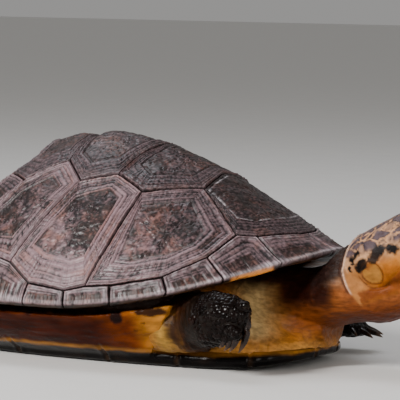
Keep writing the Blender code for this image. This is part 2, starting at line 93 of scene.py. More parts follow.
def smooth_step(low, high, value):
    t = np.clip((value - low) / (high - low), 0, 1)
    return t * t * (3 - 2 * t)


def bump_at(value, centre, width):
    """Smooth hill of height 1 around a centre."""
    return np.exp(-((value - centre) / width) ** 2)


def mix(a, b, share):
    return a + (b - a) * share


def lattice_hash(ix, iy, iz, seed):
    """Repeatable value between 0 and 1 for each lattice point."""
    mask = np.int64(0xFFFFFFFF)
    h = (ix * 374761393 + iy * 668265263 + iz * 1440662683 + seed * 974711) & mask
    h = ((h ^ (h >> 13)) * 1274126177) & mask
    h = ((h ^ (h >> 15)) * 2246822519) & mask
    return (h ^ (h >> 16)).astype(np.float64) / 4294967295.0


def number_hash(numbers, seed, row=0, layer=0):
    """Repeatable value between 0 and 1 for each whole number."""
    return lattice_hash(numbers, numbers * 0 + row, numbers * 0 + layer, seed)


def soft_noise(points, size, seed=0):
    """Smooth noise from -1 to 1 whose lumps are about one size across."""
    q = points / size
    base = np.floor(q).astype(np.int64)
    f = q - base
    f = f * f * (3 - 2 * f)
    total = 0.0
    for dx in (0, 1):
        wx = f[:, 0] if dx else 1 - f[:, 0]
        for dy in (0, 1):
            wy = f[:, 1] if dy else 1 - f[:, 1]
            for dz in (0, 1):
                wz = f[:, 2] if dz else 1 - f[:, 2]
                corner = lattice_hash(base[:, 0] + dx, base[:, 1] + dy, base[:, 2] + dz, seed)
                total = total + wx * wy * wz * corner
    return 2 * total - 1


def rough_noise(points, size, seed=0, octaves=3):
    total, weight, share = 0.0, 0.0, 1.0
    for octave in range(octaves):
        total = total + share * soft_noise(points, size / 2 ** octave, seed + 17 * octave)
        weight += share
        share *= 0.55
    return total / weight


def fold_noise(points, size, seed):
    """Creased noise, 1 along winding lines and 0 between them."""
    return 1 - np.abs(soft_noise(points, size, seed))


def cell_noise(points, size, seed=0):
    """Distances to the nearest and next scattered seed, in cell sizes, and the cell's own value."""
    q = points / size
    base = np.floor(q).astype(np.int64)
    first = np.full(len(q), 9.0)
    second = np.full(len(q), 9.0)
    own = np.zeros(len(q))
    for step in np.ndindex(3, 3, 3):
        c = base + np.array(step) - 1
        spot = np.stack([lattice_hash(*c.T, seed + k) for k in (1, 2, 3)], 1)
        d = np.linalg.norm(c + spot - q, axis=1)
        nearer = d < first
        second = np.where(nearer, first, np.minimum(second, d))
        own = np.where(nearer, lattice_hash(*c.T, seed + 9), own)
        first = np.where(nearer, d, first)
    return first, second, own


def unit(vectors):
    return vectors / np.maximum(np.linalg.norm(vectors, axis=-1, keepdims=True), 1e-12)


def turns_round(sides):
    return np.arange(sides) * 2 * math.pi / sides


def read_vectors(items, key):
    """A vector of each point or face of a mesh, as rows."""
    flat = np.empty(len(items) * 3, np.float32)
    items.foreach_get(key, flat)
    return flat.reshape(-1, 3).astype(np.float64)


def get_points(mesh):
    return read_vectors(mesh.vertices, "co")


def get_normals(mesh):
    return read_vectors(mesh.vertices, "normal")


def set_points(mesh, points):
    mesh.vertices.foreach_set("co", np.ascontiguousarray(points, np.float32).ravel())
    mesh.update()


def set_value(mesh, name, values):
    """Store one number for each point of a mesh, which materials read by name."""
    layer = mesh.attributes.get(name) or mesh.attributes.new(name, "FLOAT", "POINT")
    layer.data.foreach_set("value", np.clip(values, 0, 1).astype(np.float32))


def set_colour(mesh, colours):
    """Store a colour for each point of a mesh, which materials read as its tint."""
    layer = mesh.attributes.new("tint", "FLOAT_COLOR", "POINT")
    full = np.concatenate([np.clip(colours, 0, 1), np.ones((len(colours), 1))], 1)
    layer.data.foreach_set("color", full.astype(np.float32).ravel())


def plain(colour, points):
    return np.tile(colour, (len(points), 1)).astype(float)


def paint(colours, *coats):
    """Lay coats over colours: each is a share from 0 to 1 at every point, and a colour or colours."""
    for share, colour in coats:
        colours = colours + (np.array(colour) - colours) * np.clip(share, 0, 1)[:, None]
    return colours


def smooth_curve(points, places):
    """Values of a smooth curve through a list of tuples; places run from 0 to the last index."""
    table = np.array(points, float)
    last = len(table) - 1
    start = np.clip(places.astype(int), 0, last - 1)
    t = (places - start)[:, None]
    before, after = table[np.maximum(start - 1, 0)], table[np.minimum(start + 2, last)]
    near, far = table[start], table[start + 1]
    square, cube = 2 * before - 5 * near + 4 * far - after, 3 * near - before - 3 * far + after
    return 0.5 * (2 * near + (far - before) * t + (square * t ** 2 + cube * t ** 3))


# ---------------------------------------------------------------- work on pieces

def deselect_all():
    bpy.ops.object.select_all(action="DESELECT")


def pick(item):
    """Select one piece alone and make it the active one."""
    deselect_all()
    bpy.context.view_layer.objects.active = item
    item.select_set(True)


def rename(item, name):
    item.name = name
    item.data.name = name
    return item


def edit(item):
    """Open one piece alone in edit mode, with all of it selected."""
    pick(item)
    bpy.ops.object.mode_set(mode="EDIT")
    bpy.ops.mesh.select_all(action="SELECT")


def close_edit():
    bpy.ops.object.mode_set(mode="OBJECT")


def edit_faces(item, chosen):
    """Open a piece in edit mode with only the chosen faces selected."""
    edit(item)
    bpy.ops.mesh.select_mode(type="FACE")
    bpy.ops.mesh.select_all(action="DESELECT")
    close_edit()
    item.data.polygons.foreach_set("select", chosen)
    bpy.ops.object.mode_set(mode="EDIT")


def modify(item, *steps):
    """Add modifiers, each a kind with its settings, and apply them in order."""
    for kind, settings in steps:
        modifier = item.modifiers.new(kind, kind)
        for key, value in settings.items():
            setattr(modifier, key, value)
    pick(item)
    for modifier in list(item.modifiers):
        bpy.ops.object.modifier_apply(modifier=modifier.name)


def fuse(item, grain, smoothings):
    """Fuse overlapping closed bodies into one even surface and soften it."""
    modify(item, ("REMESH", {"mode": "VOXEL", "voxel_size": grain}),
           ("SMOOTH", {"factor": 0.5, "iterations": smoothings}))


def thin_to(item, limit):
    """Collapse a mesh to a number of triangles it may not pass."""
    triangles = sum(len(face.vertices) - 2 for face in item.data.polygons)
    if triangles > limit:
        modify(item, ("DECIMATE", {"ratio": limit / triangles}))


def duplicate(source, name):
    """Free copy of a piece or a solid, without what ties it to the frame."""
    pick(source)
    bpy.ops.object.duplicate()
    item = bpy.context.object
    item.parent = None
    for key in list(item.keys()):
        del item[key]
    return rename(item, name)


def copy_node(node, name):
    """Merged copy of a solid, to be shaped further."""
    item = duplicate(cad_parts[node], name)
    edit(item)
    bpy.ops.mesh.remove_doubles(threshold=2e-6)
    close_edit()
    return item


def join_pieces(items, name):
    deselect_all()
    for item in items:
        item.select_set(True)
    bpy.context.view_layer.objects.active = items[0]
    bpy.ops.object.join()
    return rename(items[0], name)


def mount(item, material, replaced=()):
    """Give a finished piece its material and its place in the frame."""
    item.data.materials.clear()
    item.data.materials.append(material)
    item.data.polygons.foreach_set("material_index", [0] * len(item.data.polygons))
    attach(item, "root")
    if replaced:
        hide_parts(*replaced)
    return item


def add_sheet(name, columns, rows):
    """Flat grid, and the column and row that each of its points lies in."""
    deselect_all()
    bpy.ops.mesh.primitive_grid_add(x_subdivisions=columns, y_subdivisions=rows, size=2.0)
    item = rename(bpy.context.object, name)
    share = (get_points(item.data) + 1) / 2
    return item, np.rint(share[:, 0] * columns).astype(int), np.rint(share[:, 1] * rows).astype(int)


def ring_solid(name, rings, top=None, bottom=None, marks=None):
    """Closed piece from a sheet rolled into a tube: each row is a ring, and both ends close in a point."""
    rows, columns = rings.shape[:2]
    item, column, row = add_sheet(name, columns, rows + 1)
    column = column % columns
    places = rings[np.clip(row - 1, 0, rows - 1), column]
    places[row == 0] = rings[0].mean(0) if top is None else top
    places[row == rows + 1] = rings[-1].mean(0) if bottom is None else bottom
    set_points(item.data, places)
    for mark, values in (marks or {}).items():
        picked = values[np.clip(row - 1, 0, rows - 1), column]
        picked[row == 0] = values[0].mean()
        picked[row == rows + 1] = values[-1].mean()
        set_value(item.data, mark, picked)
    edit(item)
    bpy.ops.mesh.remove_doubles(threshold=1e-7)
    bpy.ops.mesh.normals_make_consistent(inside=False)
    close_edit()
    item.data.shade_smooth()
    return item


# ---------------------------------------------------------------- form of the upper shell

def rim_point(angle):
    """Rim of the shell; angle 0 is the front and a quarter turn is the left side."""
    ahead = np.cos(angle)
    x = 0.5 * SHELL_LENGTH * signed_power(ahead, 2 / OUTLINE_POWER)
    y = 0.5 * SHELL_WIDTH * signed_power(np.sin(angle), 2 / OUTLINE_POWER)
    y = y * (1 - REAR_SPREAD * x / (0.5 * SHELL_LENGTH))
    z = RIM_SIDE + (RIM_FRONT - RIM_SIDE) * np.maximum(ahead, 0) ** RIM_CLIMB_POWER
    z = z + (RIM_REAR - RIM_SIDE) * np.maximum(-ahead, 0) ** 2
    return x, y, z


def keel_height(x, y):
    """Low ridge along the middle that ends in a knob at the rear of each plate."""
    height = np.zeros_like(x)
    for front, rear, knob in zip(KEEL_SEAMS[:-1], KEEL_SEAMS[1:], KNOB_HEIGHTS):
        t = np.clip((front - x) / (front - rear), 0, 1)
        rise = np.where(t < KNOB_PEAK, t / KNOB_PEAK, (1 - t) / (1 - KNOB_PEAK))
        ridge = knob * (0.3 + 0.7 * rise) * bump_at(y, 0, KEEL_SPREAD)
        height = np.where((x <= front) & (x > rear), ridge, height)
    return height


def shell_point(angle, reach):
    """Outer face of the shell; reach runs from 0 at the top to 1 at the rim."""
    rim_x, rim_y, rim_z = rim_point(angle)
    ahead = np.cos(angle)
    fall = FALL_SIDE + (FALL_FRONT - FALL_SIDE) * np.maximum(ahead, 0) ** 2
    fall = fall + (FALL_REAR - FALL_SIDE) * np.maximum(-ahead, 0) ** 2
    x = APEX_X + (rim_x - APEX_X) * reach
    y = rim_y * reach
    z = rim_z + (SHELL_TOP - rim_z) * (1 - np.clip(reach, 0, 1) ** DOME_POWER) ** fall
    return np.stack([x, y, z + keel_height(x, y)], -1)


ANGLES = np.linspace(-math.pi, math.pi, 4001)
RIM_X, RIM_Y, _ = rim_point(ANGLES)
BEARINGS = np.arctan2(RIM_Y, RIM_X - APEX_X)
BEARINGS[0], BEARINGS[-1] = -math.pi, math.pi


def plan_to_shell(x, y):
    """Angle and reach of the point of the shell above a place in plan."""
    angle = np.interp(np.arctan2(y, x - APEX_X), BEARINGS, ANGLES)
    rim_x, rim_y, _ = rim_point(angle)
    reach = np.hypot(x - APEX_X, y) / np.hypot(rim_x - APEX_X, rim_y)
    return angle, reach


def above(x, y):
    """Point of the shell's outer face above a place in plan."""
    angle, reach = plan_to_shell(np.asarray(x, float), np.asarray(y, float))
    return shell_point(angle, reach)


def onto_shell(points):
    """Throw points from the heart of the shell onto its outer face."""
    rays = points - SHELL_HEART
    low = np.full(len(points), 0.7)
    high = np.full(len(points), 1.5)
    for _ in range(22):
        middle = 0.5 * (low + high)
        trial = SHELL_HEART + rays * middle[:, None]
        angle, reach = plan_to_shell(trial[:, 0], trial[:, 1])
        outside = (trial[:, 2] > shell_point(angle, reach)[:, 2]) | (reach > 1)
        high = np.where(outside, middle, high)
        low = np.where(outside, low, middle)
    return SHELL_HEART + rays * (0.5 * (low + high))[:, None]


# ---------------------------------------------------------------- growth rings

def ring_edges(count, seed):
    """Edges of the growth bands from the areola, 0, to the seam, 1: late bands are narrower."""
    numbers = np.arange(count)
    widths = (1.35 - 0.75 * numbers / count) * (0.45 + 1.1 * number_hash(numbers, seed, 3))
    return np.concatenate([[0], np.cumsum(widths) / widths.sum()])


def growth_bands(grown, edges, reach_mm, seeds, faintest, line_widths):
    """The growth band at each place from areola, 0, to seam, 1, and the dark line beside it.

    number, width in mm and arch, its rounded height from 0 to 1, are the band's; strength is how far it
    stands out; line is 1 on the line between two bands, and darkness that line's depth of colour.
    """
    number = np.clip(np.searchsorted(edges, grown, side="right") - 1, 0, len(edges) - 2)
    width = edges[number + 1] - edges[number]
    place = np.clip((grown - edges[number]) / width, 0, 1)
    width = width * reach_mm
    darkness = faintest + (1 - faintest) * number_hash(number + (place > 0.5), seeds[1], 2)
    line = bump_at(np.minimum(place, 1 - place) * width, 0, line_widths[0] + line_widths[1] * darkness)
    return SimpleNamespace(number=number, width=width, arch=1 - np.abs(2 * place - 1) ** 2.2, line=line,
                           strength=0.35 + 0.65 * number_hash(number, seeds[0], 7), darkness=darkness)


def walk_along(corners, places):
    """Points of a closed polygon at given places, counted in corners."""
    start = np.floor(places).astype(int) % len(corners)
    share = (places - np.floor(places))[:, None]
    return mix(corners[start], corners[(start + 1) % len(corners)], share)


def even_places(corners, spacing):
    """Places round a closed polygon, evenly spaced along its sides and with one on each corner."""
    places = []
    for k in range(len(corners)):
        length = np.linalg.norm(corners[(k + 1) % len(corners)] - corners[k])
        count = max(2, int(round(length / spacing)))
        places.extend(k + j / count for j in range(count))
    return np.array(places)


# ---------------------------------------------------------------- middle and side plates

def read_plate(mm, flat, bands, seed, rough):
    """What shapes and colours a plate's face share: its bands, ridges, streaks and the areola's pits.

    flat says where each point lies: depth runs from 0 at the areola's edge to 1 at the seam, inner from
    0 at the areola's middle to 1 at its edge, reach is the distance in millimetres from areola to seam,
    core from the areola's middle to its edge, and around the place along the seam.
    """
    depth, reach, around = flat["depth"], flat["reach"], flat["around"]
    face = SimpleNamespace(mm=mm, depth=depth, seed=seed, rough=rough, ringed=depth > 0)
    face.from_areola = np.where(face.ringed, depth * reach, (flat["inner"] - 1) * flat["core"])
    face.inside = 1 - smooth_step(0.0, 0.12, depth)
    wander = 0.05 * soft_noise(mm, 5.0, seed + 5) + 0.012 * soft_noise(mm, 1.6, seed + 15)
    face.grown = np.clip(depth + wander * np.clip(depth * (1 - depth) * 4, 0, 1), 0, 1)
    face.bands = growth_bands(face.grown, ring_edges(bands, seed), reach, (seed + 1, seed + 18), 0.30,
                              (0.13, 0.22))
    # the last growth stands up as two narrow beaded ridges beside a fine seam
    face.to_seam = (1 - depth) * reach + 0.12 * soft_noise(mm, 2.5, seed + 16)
    ridges = bump_at(face.to_seam, 0.85, 0.38) + 0.75 * bump_at(face.to_seam, 2.0, 0.45)
    face.ridges = ridges * smooth_step(0.0, 0.25, depth) * smooth_step(1.5, 4, reach)
    face.beads = 0.7 + 0.5 * soft_noise(mm, 1.3, seed + 17)
    face.seam = bump_at(face.to_seam, 0, SEAM_WIDTH) * face.ringed
    streaks = np.stack([around * 1.35, depth * reach * 0.13, around * 0 + seed], 1)
    face.streaks = soft_noise(streaks, 0.6, seed + 2)
    first, _, own = cell_noise(mm, 1.2, seed + 3)
    face.pits = smooth_step(0.45, 0.12, first) * (own > 0.5)
    face.swirl = rough_noise(mm, 4.2, seed + 4)
    face.creases = fold_noise(mm + 2.2 * face.swirl[:, None], 2.3, seed + 6)
    return face


def plate_height(face):
    """Height in millimetres of a plate's rings, ridges and streaks, and of its worn areola."""
    mm, seed, bands = face.mm, face.seed, face.bands
    height = np.where(face.ringed, np.minimum(0.60, 0.46 * bands.width) * bands.arch * bands.strength, 0)
    height += 0.55 * face.ridges * face.beads - SEAM_DEPTH / MM * face.seam
    height -= 0.50 * bump_at(face.from_areola, 0.2, 0.42)
    height += 0.14 * face.streaks * smooth_step(0.02, 0.25, face.depth)
    height += face.inside * face.rough * (0.34 * face.swirl + 0.30 * (face.creases - 0.6) - 0.3 * face.pits)
    return height + 0.07 * rough_noise(mm, 1.0, seed + 8) + 0.30 * soft_noise(mm, 9.0, seed + 11)


def plate_groove(face, pale_border):
    """How black each place is: lines between the bands, seam, areola's border, dashes and pocks."""
    mm, seed, bands = face.mm, face.seed, face.bands
    lines = np.where(face.ringed & (face.grown < 0.99), bands.line, 0)
    border = bump_at(face.from_areola, 0.2, 0.42) * smooth_step(-0.55, 0.05, soft_noise(mm, 3.4, seed + 23))
    blotches = smooth_step(-0.1, 0.5, rough_noise(mm, 6.0, seed + 20))
    pocks = np.maximum(0.85 * face.pits, 0.8 * smooth_step(0.86, 1.0, face.creases))
    return np.maximum.reduce((
        lines * bands.darkness * (0.9 + 0.4 * soft_noise(mm, 2.0, seed + 19)),
        bump_at(face.to_seam, 1.42, 0.17) * face.ringed * 0.8 * face.beads,
        face.seam,
        0.95 * (1 - pale_border) * border,
        0.5 * smooth_step(0.2, 0.6, face.streaks) * smooth_step(0.05, 0.3, face.depth),
        face.inside * np.maximum(face.rough * pocks, 0.75 * blotches),
    ))


def plate_marks(face, pale_border, shade, contrast):
    """Colour marks of a plate's face: black grooves, warm patches, tone of the horn, and pale lines and
    specks on the ridges that are partly wear and partly painted glints.
    """
    mm, seed, bands, ridges = face.mm, face.seed, face.bands, face.ridges
    warm_band = 0.55 * (number_hash(bands.number, seed, 0, 5) > 0.45) * face.ringed
    warm = np.maximum(face.inside * smooth_step(-0.35, 0.35, rough_noise(mm, 5.5, seed + 12)),
                      warm_band * smooth_step(-0.3, 0.4, soft_noise(mm, 7.0, seed + 13)))
    tone = 0.30 * face.inside + (0.27 + 0.54 * bands.arch * bands.strength) * (1 - face.inside)
    tone += 0.26 * face.streaks * face.ringed + 0.30 * rough_noise(mm, 3.0, seed + 14)
    tone += 0.60 * ridges * face.beads + 0.30 * soft_noise(mm, 12.0, seed + 24)
    tone += 0.30 * face.inside * rough_noise(mm, 1.7, seed + 25)
    tone = TONE_MIDDLE + contrast * (tone - TONE_MIDDLE)
    tone *= shade * mix(0.78, 1.18, smooth_step(66, 40, mm[:, 2]))
    inner_line = bump_at(face.from_areola, 0.1, 0.40)
    inner_line = inner_line * smooth_step(-0.45, 0.1, soft_noise(mm, 1.1, seed + 21))
    # pale specks on the ridges: partly wear, partly painted glints
    worn_and_glint = 0.16 * ridges * smooth_step(0.1, 0.6, soft_noise(mm, 1.2, seed + 22)) * shade
    return {"groove": plate_groove(face, pale_border), "warm": warm, "tone": tone,
            "pale": np.maximum(pale_border * inner_line, worn_and_glint)}


def plate_rings(outer, inner):
    """Rings of points from the areola's middle to the seam, thrown onto the shell, and how they lie."""
    places = even_places(outer, PLATE_GRAIN)
    seam, core, middle = walk_along(outer, places), walk_along(inner, places), inner.mean(0)
    reach = np.linalg.norm(seam - core, axis=1)
    core_reach = np.linalg.norm(core - middle, axis=1)
    core_rows = max(6, int(core_reach.max() / (1.25 * PLATE_GRAIN)))
    ring_rows = max(14, int(np.percentile(reach, 80) / (0.85 * PLATE_GRAIN)))
    inner_shares = [k / core_rows for k in range(1, core_rows + 1)]
    depths = [1 - (1 - k / ring_rows) ** 1.25 for k in range(1, ring_rows + 1)]
    to_gap = (1 - SEAM_GAP / reach)[:, None]
    rings = np.stack([mix(middle, core, share) for share in inner_shares]
                     + [mix(core, seam, share * to_gap) for share in depths])
    rows, columns = rings.shape[:2]
    rings = onto_shell(rings.reshape(-1, 3)).reshape(rings.shape)
    around = np.concatenate([[0], np.cumsum(np.linalg.norm(np.diff(seam, axis=0), axis=1))])
    flat = {"depth": np.repeat([0.0] * core_rows + depths, columns),
            "inner": np.repeat(inner_shares + [1.0] * ring_rows, columns),
            "reach": np.tile(reach, rows) / MM, "core": np.tile(core_reach, rows) / MM,
            "around": np.tile(around / MM, rows)}
    return rings, onto_shell(middle[None])[0], flat, (core_rows, ring_rows)


def ring_normals(rings):
    """Outward direction of the surface at each point of a plate's rings."""
    outward = unit(rings - SHELL_HEART)
    across = np.roll(rings, -1, 1) - np.roll(rings, 1, 1)
    normals = unit(np.cross(np.gradient(rings, axis=0), across))
    normals *= np.sign((normals * outward).sum(-1, keepdims=True))
    normals[-1] = outward[-1]
    normals[0] = normals[0].mean(0)
    return normals, outward


UNDERCUT = 0.004  # share of the way to the shell's heart that a plate's edge turns in
WALL_ON_KEEL = {"groove": 0.35, "tone": 0.3, "warm": 0.5}  # colour of a plate's wall where it shows
KEEL_STEPS = {  # lift behind the front seam, lift of the rear edge, its reach backwards, end notches
    "vertebral_3": (0.0, 0.0, 0.0, 0.0, 2.3), "vertebral_4": (1.1, 2.7, 0.4, 2.2, 0.0),
    "vertebral_5": (0.0, 0.0, 0.0, 1.4, 0.0),
}
NOTCH_WIDTH = 2.4 * MM
STEP_SPREAD = 9 * MM


def keel_step(name, rings):
    """Moves along the midline that leave a notch in front of a middle plate or a step behind it."""
    lift, rear_lift, reach_back, front_notch, rear_notch = KEEL_STEPS[name]
    number = int(name[-1]) - 1
    front, rear = KEEL_SEAMS[number], KEEL_SEAMS[number + 1]
    x = rings[..., 0]
    t = np.clip((front - x) / (front - rear), 0, 1)
    moved = np.zeros_like(rings)
    moved[..., 2] = lift * smooth_step(0.1, 0.6, t)
    moved[..., 2] += rear_lift * np.clip((t - KNOB_PEAK) / (1 - KNOB_PEAK), 0, 1)
    moved[..., 2] -= front_notch * bump_at(x, front, NOTCH_WIDTH) + rear_notch * bump_at(x, rear, NOTCH_WIDTH)
    moved[..., 0] = -reach_back * smooth_step(0.8, 1.0, t)
    return moved * bump_at(rings[..., 1:2], 0, STEP_SPREAD) * MM


def make_plate(name, corners, seed, bands=7, rough=1.0, pale_border=0.0, shade=1.0, contrast=1.0):
    """Horn plate from pairs of plan corners: a corner of its seam and the areola's corner inside it."""
    plan = np.array(corners, float) * MM
    outer, inner = above(plan[:, 0, 0], plan[:, 0, 1]), above(plan[:, 1, 0], plan[:, 1, 1])
    turn = np.cross(np.roll(outer, -1, 0) - outer.mean(0), outer - outer.mean(0)).sum(0)
    if turn @ (outer.mean(0) - SHELL_HEART) > 0:
        outer, inner = outer[::-1], inner[::-1]
    rings, middle, flat, (core_rows, ring_rows) = plate_rings(outer, inner)
    face = read_plate(rings.reshape(-1, 3) / MM, flat, bands, seed, rough)
    height = plate_height(face).reshape(rings.shape[:2])
    normals, outward = ring_normals(rings)
    raised = rings + normals * height[..., None] * MM
    on_keel = name in KEEL_STEPS
    if on_keel:
        raised = raised + keel_step(name, rings)
    hidden = [raised[-1] + (SHELL_HEART - rings[-1]) * UNDERCUT]
    for row in (-1, -1 - ring_rows // 2, core_rows - 1, core_rows // 2):
        hidden.append(rings[row] - outward[row] * PLATE_THICKNESS)
    wall = WALL_ON_KEEL if on_keel else {"groove": 1.0}
    marks = {}
    for mark, values in plate_marks(face, pale_border, shade, contrast).items():
        hidden_values = np.full((len(hidden), rings.shape[1]), wall.get(mark, 0.0))
        marks[mark] = np.concatenate([values.reshape(rings.shape[:2]), hidden_values])
    top = middle + normals[0, 0] * height[0].mean() * MM
    return ring_solid(name, np.concatenate([raised, hidden]), top,
                      middle - unit(middle - SHELL_HEART) * PLATE_THICKNESS, marks)


def mirrored(pairs):
    return [((a[0], -a[1]), (b[0], -b[1])) for a, b in pairs]


def both_sides(pairs):
    """Whole plate of the middle row from its left half; pairs on the midline aren't doubled."""
    other = [pair for pair in mirrored(pairs)[::-1] if abs(pair[0][1]) > 0.01]
    return pairs + other


MIDDLE_PLATES = {  # left half of each plate: seam corner, areola corner
    "vertebral_1": [((79, 0), (70.5, 0)), ((78.6, 7), (70, 6)), ((70, 24), (66, 17.5)),
                    ((64, 28.7), (60.5, 22)), ((45, 18.5), (46, 17)), ((43.5, 0), (45, 0))],
    "vertebral_2": [((43.5, 0), (38, 0)), ((45, 18.5), (38, 15.5)), ((26.2, 32), (25.5, 24)),
                    ((14, 28.6), (19.5, 20.5)), ((18.5, 0), (21, 0))],
    "vertebral_3": [((18.5, 0), (13, 0)), ((14, 28.6), (9.5, 20.5)), ((0.5, 33.5), (0, 25)),
                    ((-9.3, 25.2), (-6, 20.5)), ((-11, 0), (-9, 0))],
    "vertebral_4": [((-11, 0), (-15, 0)), ((-9.3, 25.2), (-14, 17)), ((-25, 32), (-22.5, 21)),
                    ((-37, 21), (-29.5, 15)), ((-30, 0), (-28, 0))],
    "vertebral_5": [((-30, 0), (-39, 0)), ((-37, 21), (-43, 13.5)), ((-66.5, 29), (-58, 17)),
                    ((-69.5, 21), (-60.5, 13)), ((-73, 0), (-62, 0))],
}
SIDE_PLATES = {
    "costal_1": [((45, 18.5), (44, 27)), ((26.2, 32), (28.3, 36.5)), ((17.6, 58.5), (28, 51.5)),
                 ((27, 57), (33, 50.8)), ((45.6, 51.1), (45, 45.5)), ((58.5, 41), (51.5, 40)),
                 ((64, 28.7), (53.2, 34)), ],
    "costal_2": [((26.2, 32), (18.5, 37)), ((14, 28.6), (13.5, 35)), ((0.5, 33.5), (2, 40)),
                 ((-15.9, 56.6), (-7, 52.5)), ((-5.8, 60), (-1, 54)), ((9.5, 60), (9, 54.5)),
                 ((17.6, 58.5), (14, 53))],
    "costal_3": [((0.5, 33.5), (-7.5, 36)), ((-9.3, 25.2), (-12.5, 32.5)), ((-25, 32), (-23, 37)),
                 ((-46, 49), (-35, 46.5)), ((-39, 51.5), (-31, 48.5)), ((-25, 54.5), (-24, 50)),
                 ((-15.9, 56.6), (-18.5, 50.5))],
    "costal_4": [((-25, 32), (-33, 35.5)), ((-37, 21), (-41, 27)), ((-66.5, 29), (-56.5, 30)),
                 ((-62, 36), (-54, 34)), ((-52, 45.5), (-47.5, 40)), ((-46, 49), (-42.5, 42.5))],
}
SIDE_PLATE_LIGHTNESS_AND_SHEEN = (0.82, 1.35, 1.15, 1.0)  # how light each side plate is, front to rear; the second side plate is made lighter as painted sheen
SIDE_PLATE_CONTRAST = 1.65
FIRST_PLATE_LOOK = {"bands": 6, "pale_border": 1.0, "shade": 0.30}
MIDDLE_PLATE_LOOK = {"bands": 5, "pale_border": 0.08, "shade": 0.47}


def make_middle_plates(horn):
    for number, (name, half) in enumerate(MIDDLE_PLATES.items()):
        look = MIDDLE_PLATE_LOOK if number else FIRST_PLATE_LOOK
        plate = make_plate(name, both_sides(half), seed=31 + number, rough=1.1, **look)
        mount(plate, horn)


def make_side_plates(horn):
    for number, (name, pairs) in enumerate(SIDE_PLATES.items()):
        for side, placed in (("left", pairs), ("right", mirrored(pairs))):
            seed = 61 + 7 * number + (3 if side == "left" else 0)
            plate = make_plate(f"{name}_{side}", placed, seed=seed, bands=7 - number // 2,
                               pale_border=0.2 if number == 0 else 0.06,
                               shade=SIDE_PLATE_LIGHTNESS_AND_SHEEN[number], contrast=SIDE_PLATE_CONTRAST)
            mount(plate, horn)


# ---------------------------------------------------------------- rim plates

# Upper seam line from front to rear in plan, and the corners between the plates
UPPER_SEAM = ((79, 0), (78.6, 7), (70, 24), (64, 28.7), (58.5, 41), (45.6, 51.1), (27, 57),
              (17.6, 58.5), (9.5, 60), (-5.8, 60), (-15.9, 56.6), (-25, 54.5), (-39, 51.5),
              (-46, 49), (-52, 45.5), (-62, 36), (-66.5, 29), (-69.5, 21), (-73, 0))
SHARED_CORNERS = (0, 2, 4, 5, 6, 8, 9, 11, 12, 14, 15, 17, 18)
RIM_CORNERS = ((90, 0), (80.4, 27.3), (66.6, 43.5), (48.3, 53), (28, 58.8), (9.8, 61.4),
               (-6.9, 62.3), (-24.5, 62.5), (-41, 61.5), (-56, 57), (-69, 48), (-80, 32), (-90, 0))
LIGHT_UNDERSIDES = (0.04, 1.0, 0.04, 0.02, 0.02, 0.02, 0.02)  # share of orange under each rim plate
FAR_UNDERSIDE = 0.15  # how much of that orange the left side has
RIM_PROFILE = (  # share of the way out from the shell's middle, share of the lip's drop
    (0.999, 0.18), (0.995, 0.42), (0.983, 0.62), (0.965, 0.76), (0.945, 0.86), (0.925, 0.95),
    (0.905, 1.0), (0.885, 0.92), (0.872, 0.76),
)
RIM_WALL = 0.5 * MM


def lip_drop(angle):
    return LIP_DROP_SIDE + (LIP_DROP_FRONT - LIP_DROP_SIDE) * np.cos(angle) ** 2


def rim_plate_angles(number, sign, seam, u):
    """Angle round the shell of each column of a rim plate at its rim and at its seam, and its reach."""
    corners = np.array(RIM_CORNERS[number:number + 2], float) * MM * (1, sign)
    ends = plan_to_shell(corners[:, 0], corners[:, 1])[0]
    seam_angle, seam_reach = plan_to_shell(seam[:, 0], seam[:, 1])
    if number == 0:
        ends[0] = 0.0
    if number == len(RIM_CORNERS) - 2:
        ends[1] = sign * math.pi
        seam_angle[-1] = sign * math.pi
    return mix(ends[0], ends[1], u), sign * np.abs(seam_angle), seam_reach


def rim_plate_rows(number, sign):
    """Rows of points over a rim plate: down its face, then round under the edge; and its measures."""
    line = np.array(UPPER_SEAM[SHARED_CORNERS[number]:SHARED_CORNERS[number + 1] + 1], float) * MM * (1, sign)
    line = above(line[:, 0], line[:, 1])
    run = np.concatenate([[0], np.cumsum(np.linalg.norm(np.diff(line, axis=0), axis=1))])
    u = np.linspace(0, 1, max(24, int(run[-1] / PLATE_GRAIN)) + 1)
    seam = onto_shell(np.stack([np.interp(u * run[-1], run, line[:, k]) for k in range(3)], 1))
    rim_angle, seam_angle, seam_reach = rim_plate_angles(number, sign, seam, u)
    height = np.linalg.norm(shell_point(rim_angle, np.ones_like(u)) - seam, axis=1).max()
    face_rows = max(12, int(height / PLATE_GRAIN))
    rows = []
    for k in range(face_rows + 1):
        v = k / face_rows
        reach = mix(seam_reach + SEAM_GAP / SHELL_LENGTH * 2, 1.0, v)
        rows.append(shell_point(mix(seam_angle, rim_angle, v), reach))
    for reach, drop in RIM_PROFILE:
        row = shell_point(rim_angle, np.full_like(u, reach))
        row[:, 2] = rim_point(rim_angle)[2] - drop * lip_drop(rim_angle)
        rows.append(row)
    return np.stack(rows), u, face_rows, run[-1] / MM, height / MM


